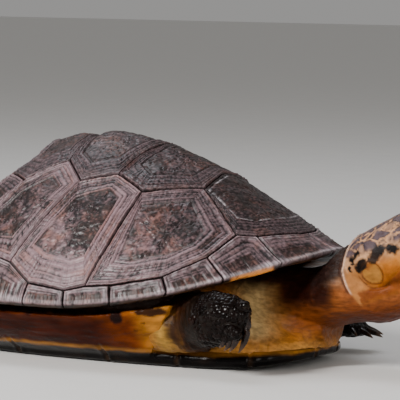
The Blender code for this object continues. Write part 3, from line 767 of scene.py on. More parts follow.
def make_rim_plate(number, side, horn):
    """Plate of the rim: its face, the rounded edge and the part that turns under."""
    sign = 1 if side == "left" else -1
    rows, u, face_rows, width_mm, height_mm = rim_plate_rows(number, sign)
    total, columns = len(rows) - 1, len(u) - 1
    item, column, row = add_sheet(f"marginal_{number + 1}_{side}", columns, total)
    mesh = item.data
    points = rows[row, column]
    set_points(mesh, points)
    normals = get_normals(mesh)
    if ((points - SHELL_HEART) * normals).sum() < 0:
        mesh.flip_normals()
        mesh.update()
        normals = get_normals(mesh)
    under = np.clip((row - face_rows) / (total - face_rows), 0, 1)
    light = LIGHT_UNDERSIDES[min(number, len(LIGHT_UNDERSIDES) - 1)]
    light *= 1.0 if side == "right" else FAR_UNDERSIDE
    face = read_rim_plate(points / MM, u[column], np.minimum(row / face_rows, 1), under, width_mm, height_mm,
                          200 + 5 * number + sign)
    # neighbours part by a hair along their shared seams
    towards = rows[:, columns // 2][row] - points
    towards /= np.maximum(np.linalg.norm(towards, axis=1), 1e-9)[:, None]
    edge = (column == 0) | (column == columns)
    points = points + towards * (SEAM_GAP * edge)[:, None] + normals * (rim_height(face) * MM)[:, None]
    set_points(mesh, points)
    marks = {**rim_marks(face), **underside_marks(face, light)}
    for mark, values in marks.items():
        set_value(mesh, mark, values)
    modify(item, ("SOLIDIFY", {"thickness": RIM_WALL, "offset": -1}))
    mesh = item.data
    inner = np.arange(len(mesh.vertices)) >= len(points)
    for mark, inner_value in (("belly", 1.0), ("light_patch", 0.0)):
        set_value(mesh, mark, np.where(inner, inner_value, np.resize(marks[mark], len(inner))))
    mesh.shade_smooth()
    return mount(item, horn)


def read_rim_plate(mm, u, v, under, width_mm, height_mm, seed):
    """What shapes and colours a rim plate's face share.

    u runs along the rim, v from the upper seam down to the edge, and under round the edge to the belly.
    """
    face = SimpleNamespace(mm=mm, u=u, v=v, under=under, seed=seed)
    to_top = v * height_mm + 0.15 * soft_noise(mm, 2.5, seed + 11)
    to_front, to_rear = u * width_mm, (1 - u) * width_mm
    face.to_seam = np.minimum(np.minimum(to_top, to_front), to_rear)
    depth = np.minimum(np.minimum(to_top, to_front * 1.2), to_rear * 2.4)
    reach_mm = 0.58 * height_mm
    grown = np.clip(1 - depth / reach_mm, 0, 1)
    face.bands = growth_bands(grown, ring_edges(5, seed), reach_mm, (seed, seed + 3), 0.35, (0.12, 0.14))
    face.top = 1 - smooth_step(0.0, 0.2, under)
    face.ringed = smooth_step(0.02, 0.12, grown) * face.top
    face.middle = smooth_step(0.12, 0.0, grown) * face.top
    face.ridges = bump_at(face.to_seam, 0.8, 0.4) + 0.7 * bump_at(face.to_seam, 1.9, 0.42)
    face.beads = 0.7 + 0.5 * soft_noise(mm, 1.3, seed + 12)
    face.ribs = soft_noise(np.stack([u * width_mm * 1.3, v * 0.9, u * 0 + seed], 1), 0.75, seed + 2)
    return face


def rim_height(face):
    """Height in millimetres: growth ridges along the upper and front seams, and upright ribs."""
    mm, seed, bands = face.mm, face.seed, face.bands
    height = 0.34 * bands.arch * face.ringed * bands.strength + 0.45 * face.ridges * face.beads * face.top
    height -= SEAM_DEPTH / MM * bump_at(face.to_seam, 0, SEAM_WIDTH)
    height += face.ribs * (0.12 * smooth_step(0.2, 0.7, face.v) + 0.16 * face.middle) * face.top
    return height + 0.14 * rough_noise(mm, 2.4, seed + 4) + 0.2 * soft_noise(mm, 8.0, seed + 5)


def rim_marks(face):
    """Colour marks of a rim plate's face: dark striped middle, warm patches, and a pale grey edge and pale
    ridges that are partly wear and partly painted glints.
    """
    mm, seed, v, bands, ridges = face.mm, face.seed, face.v, face.bands, face.ridges
    chips = smooth_step(0.1, 0.45, rough_noise(mm, 3.2, seed + 8)) * smooth_step(0.25, 0.6, v) * face.top
    groove = np.maximum.reduce((
        bands.line * face.ringed * bands.darkness,
        bump_at(face.to_seam, 0, SEAM_WIDTH),
        0.85 * bump_at(face.to_seam, 1.36, 0.2) * face.beads * face.top,
        face.middle * 0.85 * smooth_step(-0.1, 0.5, face.ribs),
        0.75 * chips * (1 - 0.7 * smooth_step(0.8, 0.95, v)),
    ))
    patches = smooth_step(0.0, 0.5, rough_noise(mm, 4.5, seed + 6)) * 0.6
    tone = 0.24 + 0.26 * bands.arch * face.ringed + 0.34 * face.ribs * smooth_step(0.2, 0.7, v)
    tone = tone + 0.30 * smooth_step(0.8, 1.0, v) + 0.40 * rough_noise(mm, 2.6, seed + 7)
    tone = tone + 0.5 * ridges * face.beads
    tone = (TONE_MIDDLE + 1.6 * (tone - TONE_MIDDLE)) * mix(1.0, 0.74, smooth_step(10, 40, mm[:, 0]))
    # pale grey edge and pale ridges: partly wear, partly painted glints
    edge = 0.46 * smooth_step(0.84, 0.97, v) * (1 - smooth_step(0.02, 0.16, face.under))
    worn_and_glint = 0.34 * ridges * face.top * smooth_step(-0.2, 0.5, soft_noise(mm, 1.6, seed + 10))
    return {"groove": groove, "warm": np.maximum(face.middle, patches) * face.top, "tone": tone,
            "pale": np.clip(np.maximum(edge * (0.7 + 0.6 * face.ribs), worn_and_glint), 0, 1)}


def underside_marks(face, light):
    """Colour marks of the part that turns under: black, with an orange patch where it is light."""
    mm, seed = face.mm, face.seed
    blotch = smooth_step(0.40, 0.28, np.abs(face.u - 0.5) + 0.16 * rough_noise(mm, 3.0, seed + 9))
    dots = smooth_step(0.25, 0.5, rough_noise(mm, 2.2, seed + 13))
    start = 0.10 - 0.06 * smooth_step(0.5, 0.9, light)
    return {"belly": smooth_step(start, start + 0.15, face.under + 0.03 * soft_noise(mm, 2.5, seed + 14)),
            "light_patch": blotch * light * (1 - 0.9 * dots)}


def make_rim_plates(horn):
    for number in range(len(RIM_CORNERS) - 1):
        for side in ("left", "right"):
            make_rim_plate(number, side, horn)


# ---------------------------------------------------------------- bony shell and belly shell

BONE_DEPTH = 0.9 * MM
KEEL_HOLLOW = 1.9 * MM  # room for the notches between the rear middle plates
BELLY_GRAIN = 0.72 * MM
BELLY_TRIANGLES = 190000
BELLY_OUTLINE = (  # distance along X, half width
    (88.5, 5), (87.5, 12.5), (84.5, 20.5), (78, 27.5), (69, 32.5), (57, 36), (42, 38.5), (30, 40),
    (8, 41), (-15, 40.5), (-32, 38.5), (-42, 33.5), (-54, 31.5), (-64, 27.5), (-71, 20), (-75, 11),
)
BELLY_SEAMS = (  # seams across the belly shell: where they meet the midline and the edge
    (62, 72), (41, 45), (18, 17), (-22, -22), (-46, -50), (-60, -66),
)
THROAT_PLATE = ((88.5, 9.5), (66, 0))
BRIDGE_BLOTCHES = (  # x, z, half length, half height, lean, darkness
    (27.8, 19.3, 2.3, 3.5, 0.0, 1.0), (40.0, 21.4, 6.2, 2.1, 0.12, 0.95), (34.0, 22.6, 2.6, 0.9, 0.0, 0.5),
    (37.0, 17.0, 0.8, 0.5, 0.0, 0.7), (33.5, 14.0, 0.7, 0.5, 0.4, 0.5), (13.0, 22.5, 9.0, 1.6, 0.0, 0.9),
    (-8.0, 20.0, 2.6, 3.0, 0.2, 0.9), (-26.0, 18.0, 5.0, 1.8, -0.1, 0.85), (-36.0, 12.0, 2.0, 1.6, 0.0, 0.8),
)


def belly_half_width(x_mm):
    table = np.array(BELLY_OUTLINE[::-1], float)
    return np.interp(x_mm, table[:, 0], table[:, 1])


def make_bone(finish):
    """Bony shell under the horn plates, which the seams let show."""
    bone = copy_node("carapace", "shell_bone")
    points = get_points(bone.data) - get_normals(bone.data) * BONE_DEPTH
    x, y, _ = points.T / MM
    points[:, 2] -= KEEL_HOLLOW * bump_at(x, -20, 24) * bump_at(y, 0, 12)
    set_points(bone.data, points)
    bone.data.shade_smooth()
    mount(bone, finish, ["carapace"])


def belly_seam(x, y):
    """Distance in millimetres to the nearest seam of the belly shell."""
    share = np.clip(np.abs(y) / belly_half_width(x), 0, 1)
    seam = np.abs(y) + 2.0 * (x > 66)
    for middle, edge in BELLY_SEAMS:
        seam = np.minimum(seam, np.abs(x - (middle + (edge - middle) * share ** 1.5)))
    (front_x, front_y), (rear_x, _) = THROAT_PLATE
    throat = np.abs(np.abs(y) - front_y * (x - rear_x) / (front_x - rear_x))
    return np.where(x > rear_x, np.minimum(seam, throat), seam)


def belly_height(mm, seam, on_bridge):
    """Height in millimetres: seams between low borders, and upright folds on the bridges."""
    height = -0.55 * bump_at(seam, 0, 0.5) * (1 - on_bridge)
    height += 0.22 * bump_at(seam, 1.5, 0.8) * (1 - on_bridge)
    height += 0.10 * rough_noise(mm * (0.5, 1, 1), 2.6, 401) + 0.25 * soft_noise(mm, 11.0, 402)
    folds = fold_noise(mm * (0.35, 1, 1.2), 2.4, 403)
    return height + on_bridge * (0.30 * (folds - 0.5) + 0.25 * soft_noise(mm * (0.5, 1, 1), 6.0, 404))


# Belly shell colours
BELLY_BLACK = (0.004, 0.003, 0.003)
BELLY_BROWN = (0.016, 0.008, 0.005)
SEAM_BROWN = (0.06, 0.03, 0.014)
UNDERSIDE_STAIN = (0.20, 0.10, 0.03)
EDGE_YELLOW = (0.42, 0.17, 0.018)
BRIDGE_AMBER = (0.14, 0.027, 0.001)
BRIDGE_ORANGE = (0.32, 0.085, 0.004)
BRIDGE_RUST = (0.085, 0.014, 0.001)
BRIDGE_YELLOW = (0.40, 0.17, 0.022)
# dark red-brown of the bridge's low rear, deepened as painted shade
BRIDGE_DARK_AND_SHADE = (0.026, 0.003, 0.001)
BLOTCH_BLACK = (0.012, 0.003, 0.002)


def belly_colours(mm, seam, on_bridge):
    x, y, z = mm.T
    under = (1 - on_bridge) * (z < 2) * smooth_step(0.25, 0.7, rough_noise(mm, 16.0, 406))
    top_edge = smooth_step(4.4, 5.8, z - np.maximum(x - 60, 0) * 0.06 + 0.5 * soft_noise(mm, 4.0, 407))
    yellow = mix(0.75, 1.0, soft_noise(mm, 6.0, 408) * 0.5 + 0.5)
    colours = paint(plain(BELLY_BLACK, mm),
                    (0.5 * smooth_step(0.1, 0.6, rough_noise(mm, 7.0, 405)), BELLY_BROWN),
                    (bump_at(seam, 0, 0.7) * 0.5, SEAM_BROWN),
                    (0.35 * under, UNDERSIDE_STAIN),
                    (top_edge * (1 - on_bridge) * yellow * 0.9, EDGE_YELLOW))
    # the low rear of the bridge: dark red-brown, darkened further as painted shade under the rim
    rear = smooth_step(36, 16, x) * smooth_step(0.9, -0.1, (z - 16) / 8 - 0.3 * soft_noise(mm, 6.0, 410))
    amber = paint(plain(BRIDGE_AMBER, mm),
                  (smooth_step(16, 24, z) * smooth_step(15, 30, x), BRIDGE_ORANGE),
                  (0.75 * smooth_step(0.0, 0.5, rough_noise(mm * (0.6, 1, 1), 5.0, 409)), BRIDGE_RUST),
                  (0.7 * smooth_step(31, 40, x), BRIDGE_YELLOW),
                  (0.92 * rear, BRIDGE_DARK_AND_SHADE))
    blend = smooth_step(5.6, 7.4, z + 0.5 * soft_noise(mm, 3.0, 411)) * (np.abs(y) > 36)
    colours = mix(colours, amber, blend[:, None])
    wobble = 0.35 * soft_noise(mm, 2.0, 412)
    for place, level, length, tall, lean, darkness in BRIDGE_BLOTCHES:
        along = (x - place + lean * (z - level)) / length
        away = np.hypot(along, (z - level) / tall) + wobble
        colours = paint(colours, (darkness * smooth_step(1.15, 0.8, away) * on_bridge, BLOTCH_BLACK))
    return colours


def make_belly_shell(finish):
    """Belly shell with its bridges: black glossy plates with seams, and yellow-brown bridges."""
    belly = copy_node("plastron", "belly_shell")
    fuse(belly, BELLY_GRAIN, 7)
    mesh = belly.data
    points, normals = get_points(mesh), get_normals(mesh)
    mm = points / MM
    seam = belly_seam(mm[:, 0], mm[:, 1])
    on_bridge = smooth_step(6.6, 8.0, mm[:, 2])
    points = points + normals * (belly_height(mm, seam, on_bridge) * MM)[:, None]
    points[:, 2] = np.maximum(points[:, 2], 0)
    set_points(mesh, points)
    set_colour(mesh, belly_colours(mm, seam, on_bridge))
    mesh.shade_smooth()
    thin_to(belly, BELLY_TRIANGLES)
    mount(belly, finish, ["plastron"])


# ---------------------------------------------------------------- forms of the flesh

NECK_PATH = (  # x, y, z, half width, half height
    (50, 0, 26, 12.5, 11.5), (68, 0, 25, 13.0, 12.0), (80, 0, 24.5, 13.8, 11.8), (90, 0, 27, 16.5, 12.6),
    (98, 0, 31.5, 18, 15), (105, 0, 31, 16.5, 13.3), (112, 0, 28.8, 14, 10.8), (120, 0, 30.5, 11.5, 9.3),
    (127, 0, 34.5, 8, 6.2), (132, 0, 38, 4, 3),
)
HEAD_ROOT = np.array((100, 0, 37.5))
HEAD_PITCH = math.radians(21)
HEAD_STATIONS = (  # along the head, half width, top, bottom
    (0, 12.5, 6.2, -7.6), (2, 14.6, 8.6, -9.0), (6, 16.6, 10.4, -10.2), (12, 17.8, 11.8, -11.6),
    (18, 17.6, 12.8, -12.3), (24, 16.2, 13.7, -11.9), (30, 13.8, 13.9, -11.0), (35, 11.6, 13.0, -10.1),
    (40, 9.2, 10.4, -9.2), (44, 7.0, 7.0, -8.2), (47, 4.6, 3.6, -6.9), (48.6, 2.2, 0.9, -5.4),
)
HEAD_POWER = 2.35  # how square the head's sections are
HEAD_MIDDLE = 0.35
MOUTH_CORNER = (25, -5.2)
MOUTH_TIP = (48.6, -3.4)
EYE_PLACE = (35.4, 8.1, 4.3)
EYE_RADIUS = 4.2 * MM
LID_RADIUS = 4.75
LID_REACH = 8.5  # how far from the eye the lids' folds run
EYE_OPENING = (0.94, 0.60)  # half length and half height, in eye radii
EAR_DRUM = (12.4, -4.6, 3.9, 4.0)  # place along and up the head, half length, half height
JAW_LINE = ((6, 14, 25), (-9.5, -10.4, -5.4))  # places along the head, and how high the line is there

FORELEG_RIGHT = (
    (42.5, -30, 18.5, 7.8, 8.4), (54, -38.5, 18.5, 9.2, 9.6), (64, -45, 20, 8.7, 10.0),
    (72, -47.5, 21.4, 7.3, 8.3), (77.2, -48, 21.5, 4.8, 5.4), (79, -48, 21.2, 2.5, 2.8),
)
FORELEG_LEFT = (
    (42.5, 30, 18.5, 7.8, 8.4), (53, 38.5, 17.5, 9.2, 9.0), (63, 44, 14.5, 8.7, 7.7), (72, 46, 11, 8.2, 5.6),
    (77.5, 46, 9, 6.4, 3.8), (80, 46, 8.6, 3.6, 2.4),
)
HINDLEG_LEFT = (
    (-42.5, 28, 15, 7.8, 7.6), (-54, 37, 11.5, 8.7, 7.0), (-62, 44.5, 8.5, 8.6, 6.3), (-69, 50, 6.2, 8, 5.4),
    (-75, 54.5, 4.4, 8.5, 4.2), (-81, 58.5, 3, 7.5, 3), (-84, 60, 2.6, 5, 2),
)
TAIL = (
    (-58, 0, 14, 7.4, 6.9), (-74, 0.5, 12.5, 5.8, 5.4), (-84, 3, 10, 4.2, 3.9), (-92, 7.5, 7, 2.8, 2.6),
    (-97, 12, 5, 1.1, 1.1),
)
TOE_RADIUS = 2.1
CLAW_RADIUS = 1.35
SKIN_GRAIN = 0.52 * MM
SKIN_TRIANGLES = 192000


def mirror_path(path):
    return tuple((x, -y, z, w, h) for x, y, z, w, h in path)


LEG_PATHS = {"foreleg_right": FORELEG_RIGHT, "foreleg_left": FORELEG_LEFT,
             "hindleg_left": HINDLEG_LEFT, "hindleg_right": mirror_path(HINDLEG_LEFT), "tail": TAIL}


def frames_along(centres):
    """Sideways and upward directions at each point of a path."""
    ahead = unit(np.gradient(centres, axis=0))
    side = unit(np.cross(ahead, (0, 0, 1)))
    return side[:, None], np.cross(side, ahead)[:, None]


def tube(name, path, sides=48, rows=40, upright=False):
    """Round body along a path of (x, y, z, half width, half height) in millimetres."""
    samples = smooth_curve(path, np.linspace(0, len(path) - 1, rows)) * MM
    centres, wide, tall = samples[:, None, :3], samples[:, 3, None, None], samples[:, 4, None, None]
    side, rise = frames_along(samples[:, :3])
    if upright:
        rise = np.tile((0.0, 0.0, 1.0), (rows, 1, 1))
    turn = turns_round(sides)[None, :, None]
    rings = centres + side * np.cos(turn) * wide + rise * np.sin(turn) * tall
    rings[..., 2] = np.maximum(rings[..., 2], 0.0)
    return ring_solid(name, rings)


def pitch(vectors, angle):
    """Vectors turned nose up by an angle."""
    x, y, z = np.moveaxis(vectors, -1, 0)
    c, s = math.cos(angle), math.sin(angle)
    return np.stack([x * c - z * s, y, x * s + z * c], -1)


def head_to_world(local):
    """World place in metres of a place on the head in millimetres: ahead, left, up."""
    return (HEAD_ROOT + pitch(np.asarray(local, float), HEAD_PITCH)) * MM


def world_to_head(mm):
    return pitch(mm - HEAD_ROOT, -HEAD_PITCH)


def make_head_body():
    """Head with its jaw: rounded box sections from the nape to the blunt snout."""
    rows, sides = 70, 72
    places = np.linspace(0, len(HEAD_STATIONS) - 1, rows)
    along, half, top, bottom = smooth_curve(HEAD_STATIONS, places).T[..., None]
    middle = HEAD_MIDDLE * (top + bottom)
    turn = turns_round(sides)
    lift = signed_power(np.sin(turn), 2 / HEAD_POWER)
    reach = np.where(lift > 0, top - middle, middle - bottom)
    across = half * signed_power(np.cos(turn), 2 / HEAD_POWER)
    rings = np.stack([along + 0 * across, across, middle + lift * reach], -1)
    return ring_solid("head_body", head_to_world(rings))


def make_throat_apron():
    """Loose skin that hangs from the neck to the front of the belly shell, on both sides."""
    rows, steps = 40, 24
    stations = (46, 60, 80, 90.5)
    x = np.linspace(stations[0], stations[-1], rows)[:, None]
    floor = 5.2 + 2.1 * np.clip((x - 60) / 28.5, 0, 1) ** 2
    low = np.maximum(belly_half_width(np.minimum(x, 88.4)) - 2.6, 2.0) * np.where(x > 84, 0.92, 1.0)
    high = np.interp(x, stations, (22, 17, 13, 10))
    crest = np.interp(x, stations, (27, 24, 19, 15.5))
    share = np.linspace(0, 1, steps)
    width = high + (low - high) * (1 - share) ** 2.1
    right = np.stack([x + 0 * width, -width, floor + (crest - floor) * share], -1)
    left = (right * (1, -1, 1))[:, ::-1]
    return ring_solid("throat_apron", np.concatenate([right, left], 1) * MM)


POUCHES = (  # loose skin between each bridge and the leg beside it, on the right side
    ((29, -37, 14.5, 7, 8.5), (39, -38.3, 14.6, 8.2, 9.2), (48, -38.5, 15, 7.8, 9.2), (58, -36, 15, 6, 8)),
    ((-28, -36, 13, 6, 7), (-38, -36.5, 13, 7.6, 7.8), (-47, -35.5, 13, 7.4, 7.6), (-56, -33, 13, 5, 6)),
)

# A foot's toes: centre of the fan and its two spread axes, angle and reach of each toe, the way the
# claws are pulled, how far they bend, and their lengths
Toes = namedtuple("Toes", "centre first second angles reaches pull bend lengths")


def mirror_toes(toes):
    flipped = {key: tuple(np.multiply(getattr(toes, key), (1, -1, 1)))
               for key in ("centre", "first", "second", "pull")}
    return toes._replace(**flipped)


HIND_TOES = Toes((-78, 57, 3.4), (-0.8, 0.6, -0.06), (0.6, 0.8, 0), (-56, -28, 0, 28, 56), (9.2,) * 5,
                 (-0.3, 0.3, -0.22), 0.5, (6, 7, 7.5, 7, 6))
TOES = {
    "foreleg_right": Toes((72.6, -48.4, 20.2), (1, -0.15, 0), (0, 0.45, 1), (30, -52, -74, -98, -124),
                          (6.6, 7.4, 7.2, 7.2, 6.8), (-0.9, 0, -0.45), 1.5, (15, 6.5, 5.5, 4.5, 4.0)),
    "foreleg_left": Toes((74, 46, 9.4), (1, 0.12, -0.12), (-0.1, 1, 0), (-52, -26, 0, 26, 52),
                         (8.2,) * 5, (0.25, 0, -0.75), 0.55, (6.5, 8.5, 9, 8.5, 7.5)),
    "hindleg_left": HIND_TOES,
    "hindleg_right": mirror_toes(HIND_TOES),
}
TOE_COUNT = 5
TOE_START = 3
KNUCKLES = (  # folded joints that stand out on the drawn-in right foot: x, y, z, radius
    ((75.8, -49.6, 24.4, 1.6), (78.8, -51.0, 26.2, 2.3), (80.4, -50.8, 25.2, 1.4)),
    ((73.6, -54.2, 18.2, 1.2), (76.4, -53.6, 17.2, 2.0), (78.4, -52.4, 15.2, 1.3)),
)


def toe_line(leg, number):
    """Start and end of one toe in millimetres, and the direction it points in."""
    toes = TOES[leg]
    angle = math.radians(toes.angles[number])
    ray = unit(np.array(toes.first) * math.cos(angle) + np.array(toes.second) * math.sin(angle))
    centre = np.array(toes.centre, float)
    return centre + ray * TOE_START, centre + ray * toes.reaches[number], ray


def make_toes(leg):
    toes = []
    for number in range(TOE_COUNT):
        start, end, ray = toe_line(leg, number)
        stations = ((start, 1), (mix(start, end, 0.55), 1.12), (end - ray * 0.3, 0.95),
                    (end + ray * 0.6, 0.55))
        path = [(*place, size * TOE_RADIUS, size * TOE_RADIUS) for place, size in stations]
        toes.append(tube("toe", path, 16, 12))
    return toes


# ---------------------------------------------------------------- skin

LEG_STATIONS = 30


def leg_places(mm):
    """For each point: how far out it lies on the nearest leg (1 is its surface), and how far down it."""
    out = np.full(len(mm), 9.0)
    down = np.zeros(len(mm))
    for path in LEG_PATHS.values():
        stations = smooth_curve(path, np.linspace(0, len(path) - 1, LEG_STATIONS))
        for k, (*centre, wide, tall) in enumerate(stations):
            away = np.linalg.norm((mm - centre) / (wide, wide, tall), axis=1)
            down = np.where(away < out, k / (LEG_STATIONS - 1), down)
            out = np.minimum(out, away)
    return out, down


def near_knuckles(mm):
    """1 on the folded joints of the right foot, 0 away from them."""
    near = np.zeros(len(mm))
    for *centre, radius in sum(KNUCKLES, ()):
        away = np.linalg.norm(mm - centre, axis=1)
        near = np.maximum(near, smooth_step(1.9 * radius, 1.4 * radius, away))
    return near


def gaze(side):
    """Direction that an eye looks in, on the head."""
    return unit(np.array((0.38, 0.9 * side, 0.2)))


def shape_eyes(local):
    """Lids: a ring of skin that hugs each eyeball and leaves a lens-shaped opening."""
    length, height = EYE_OPENING
    for side in (1, -1):
        centre = np.array(EYE_PLACE) * (1, side, 1)
        away = local - centre
        far = np.linalg.norm(away, axis=1)
        ray, axis = unit(away), gaze(side)
        front = unit(np.array((1.0, 0, 0)) - axis * axis[0])
        over = np.cross(front, axis) * side
        facing, ahead, up = ray @ axis, ray @ front, ray @ over * np.sign(over[2])
        opening = height * np.clip(1 - (ahead / length) ** 2, 0, 1) - np.abs(up - 0.04)
        opening = np.where(np.abs(ahead) < length, opening, -(np.abs(ahead) - length) - 0.05)
        fold = 0.30 * bump_at(opening, -0.10, 0.07) - 0.22 * bump_at(opening, -0.27, 0.07)
        lid = LID_RADIUS + fold - 1.3 * smooth_step(-0.02, 0.05, opening)
        grip = smooth_step(0.15, 0.55, facing) * (far < LID_REACH)
        target = np.where(opening > -0.02, lid, np.maximum(far, lid))
        local = np.where((grip > 0)[:, None], centre + ray * mix(far, target, grip)[:, None], local)
    return head_to_world(local)


def mouth_line(ahead):
    return np.interp(ahead, (MOUTH_CORNER[0], MOUTH_TIP[0]), (MOUTH_CORNER[1], MOUTH_TIP[1]))


def rear_edge(up):
    """How far ahead the head's rear edge lies at each height: it sweeps forward over the crown."""
    return 1.5 + 0.16 * np.maximum(up + 0.5, 0) ** 1.5 + 0.05 * np.maximum(-5 - up, 0) ** 1.5


def read_skin(mm):
    """Where each point of the skin lies: on the head, on a leg, or between them, and how deep."""
    place = SimpleNamespace(mm=mm, local=world_to_head(mm))
    place.ahead, place.side, place.up = ahead, side, up = place.local.T
    on_head = smooth_step(-0.5, 0.5, ahead - rear_edge(up)) * smooth_step(-15.5, -12.5, up)
    place.on_head = on_head * smooth_step(23, 17, np.abs(side))
    drum_x, drum_z, drum_long, drum_tall = EAR_DRUM
    drum = np.hypot((ahead - drum_x) / drum_long, (up - drum_z) / drum_tall)
    place.drum = np.where(np.abs(side) > 9, drum, 9)
    place.over_jaw = up - np.interp(ahead, *JAW_LINE)
    place.behind = ahead - rear_edge(up)
    place.level = smooth_step(-10.5, -8, up) * (ahead < 20)
    place.out, place.down = leg_places(mm)
    place.recess = mm[:, 0] - 0.54 * np.abs(mm[:, 1])
    return place


def body_height(place):
    """Folds of the loose skin: long ones on neck and throat, upright ones by the shoulders; leg creases."""
    mm, on_head, down = place.mm, place.on_head, place.down
    x, y, z = mm.T
    leg = smooth_step(1.5, 1.12, place.out) * smooth_step(0.10, 0.28, down)
    soft = (1 - on_head) * (1 - leg)
    swirl = 1.6 * soft_noise(mm, 9.0, 502)
    lengthwise = fold_noise(np.stack([x * 0.14, y * 0.5, z + swirl], 1), 1.5, 503)
    upright = fold_noise(np.stack([x + 0.16 * z + swirl, y * 0.35, z * 0.16], 1), 1.7, 504)
    broad = soft_noise(np.stack([x * 0.35, y * 0.6, z + swirl], 1), 5.0, 505)
    tall = soft_noise(np.stack([x + swirl, y * 0.5, z * 0.3], 1), 5.5, 506)
    height = soft * mix(0.34 * (lengthwise - 0.62) + 0.38 * broad, 0.62 * (upright - 0.62) + 0.55 * tall,
                        smooth_step(72, 62, place.recess))
    height += soft * 0.10 * rough_noise(mm, 1.6, 507)
    nape = smooth_step(30, 38, z) * smooth_step(84, 92, x) * (1 - on_head)
    height += nape * 0.34 * smooth_step(0.55, 0.1, cell_noise(mm, 1.5, 508)[0])
    height += leg * (0.16 * rough_noise(mm, 2.2, 509) + 0.30 * (fold_noise(mm, 2.4, 510) - 0.6))
    return height + leg * smooth_step(0.55, 0.35, down) * 0.75 * (upright - 0.62)


def head_height(place):
    """Smooth shields parted by shallow grooves, ear drum, jaw line, cheek folds, nostrils and barbels."""
    mm, ahead, up, drum, on_head = place.mm, place.ahead, place.up, place.drum, place.on_head
    aside = np.abs(place.side)
    first, second, _ = crown_shields(place)
    crown = smooth_step(2.0, 5.0, up - 0.04 * aside)
    height = -crown * 0.26 * bump_at(second - first, 0, 0.055)
    height += 0.07 * rough_noise(mm, 1.4, 512) + 0.16 * soft_noise(mm, 5.0, 513)
    height += 0.38 * bump_at(drum, 1.10, 0.13) - 0.30 * smooth_step(1.0, 0.75, drum)
    below = smooth_step(-2.0, -5.0, up) * smooth_step(20, 16, ahead)
    height += below * (0.30 * bump_at(drum, 1.28, 0.12) - 0.36 * bump_at(drum, 1.50, 0.10))
    height -= smooth_step(24, 26, ahead) * 0.65 * bump_at(up - mouth_line(ahead), 0, 0.42)
    height -= 0.34 * bump_at(place.over_jaw, 0, 0.45) * smooth_step(5, 8, ahead) * smooth_step(27, 24, ahead)
    height *= on_head
    fold = bump_at(place.behind, -0.1, 0.5) - bump_at(place.behind, -1.1, 0.5)
    height += place.level * (aside < 22) * 0.45 * fold
    nostril = np.hypot(aside - 1.5, (up - 0.2) * 0.9) + 0.5 * np.maximum(45.5 - ahead, 0)
    barbel = np.hypot(ahead - 40.0, aside - 3.4) + 3 * (up > -6)
    return height - 0.8 * smooth_step(1.0, 0.35, nostril) + 1.5 * smooth_step(1.1, 0.2, barbel)


def crown_shields(place):
    """Cells of the broad shields on top of the head."""
    return cell_noise(np.stack([place.ahead, place.side, place.up * 0.7], 1), 7.5, 511)


# Skin colours
CREAM = (0.50, 0.265, 0.135)
PEACH = (0.24, 0.066, 0.016)
OCHRE = (0.24, 0.085, 0.010)
AMBER = (0.36, 0.105, 0.007)
UMBER = (0.12, 0.026, 0.003)
MAROON = (0.055, 0.010, 0.003)
SLATE = (0.054, 0.044, 0.062)
BLACK = (0.004, 0.003, 0.003)
OLIVE = (0.30, 0.18, 0.036)
PALE_WALL = (0.42, 0.30, 0.13)
LOW_YELLOW = (0.50, 0.235, 0.05)
# painted shadow in the cavity round the neck
HOLLOW_SHADOW_BLACK = (0.012, 0.002, 0.001)
NAPE_TAN = (0.36, 0.19, 0.10)
NAPE_SPOT = (0.045, 0.025, 0.02)
REAR_BROWN = (0.20, 0.08, 0.015)
RIM_SHADOW = (0.008, 0.003, 0.002)
CHEEK_YELLOW = (0.72, 0.32, 0.075)
JOWL_BROWN = (0.37, 0.155, 0.048)
JOWL_SPOT = (0.20, 0.060, 0.016)
DRUM_YELLOW = (0.38, 0.16, 0.028)
DRUM_BROWN = (0.24, 0.075, 0.012)
DRUM_EDGE = (0.07, 0.016, 0.004)
DRUM_FOLD = (0.08, 0.020, 0.006)
JAW_BROWN = (0.17, 0.036, 0.004)
SHIELD_EDGE = (0.012, 0.009, 0.012)
HEAD_SHADOW = (0.012, 0.005, 0.004)
NECK_FOLD = (0.05, 0.018, 0.010)
HEAD_EDGE = (0.62, 0.40, 0.28)
LEG_RED = (0.026, 0.006, 0.002)
LEG_BLACK = (0.005, 0.003, 0.002)
HEAD_BLOTCHES = (  # along the head, up the head, half length, half height, lean
    (9.4, -0.6, 3.2, 1.9, 0.50), (16.4, 1.2, 4.1, 2.1, 0.55), (22.8, 1.4, 2.3, 1.7, -0.6),
    (6.0, 1.8, 1.1, 1.6, 0.2), (8.8, 3.4, 1.6, 1.0, 0.5), (4.0, -0.6, 0.8, 1.2, 0.0),
    (28.4, 3.0, 2.4, 1.4, 0.2), (33.0, -1.8, 2.6, 1.0, 0.3),
)
BLOTCH_POWER = 2.6  # how square a blotch is
RIM_SHADOW_LEVEL = ((30, 40, 52, 60), (17.5, 21.5, 24.5, 30))  # places along X, and its height there


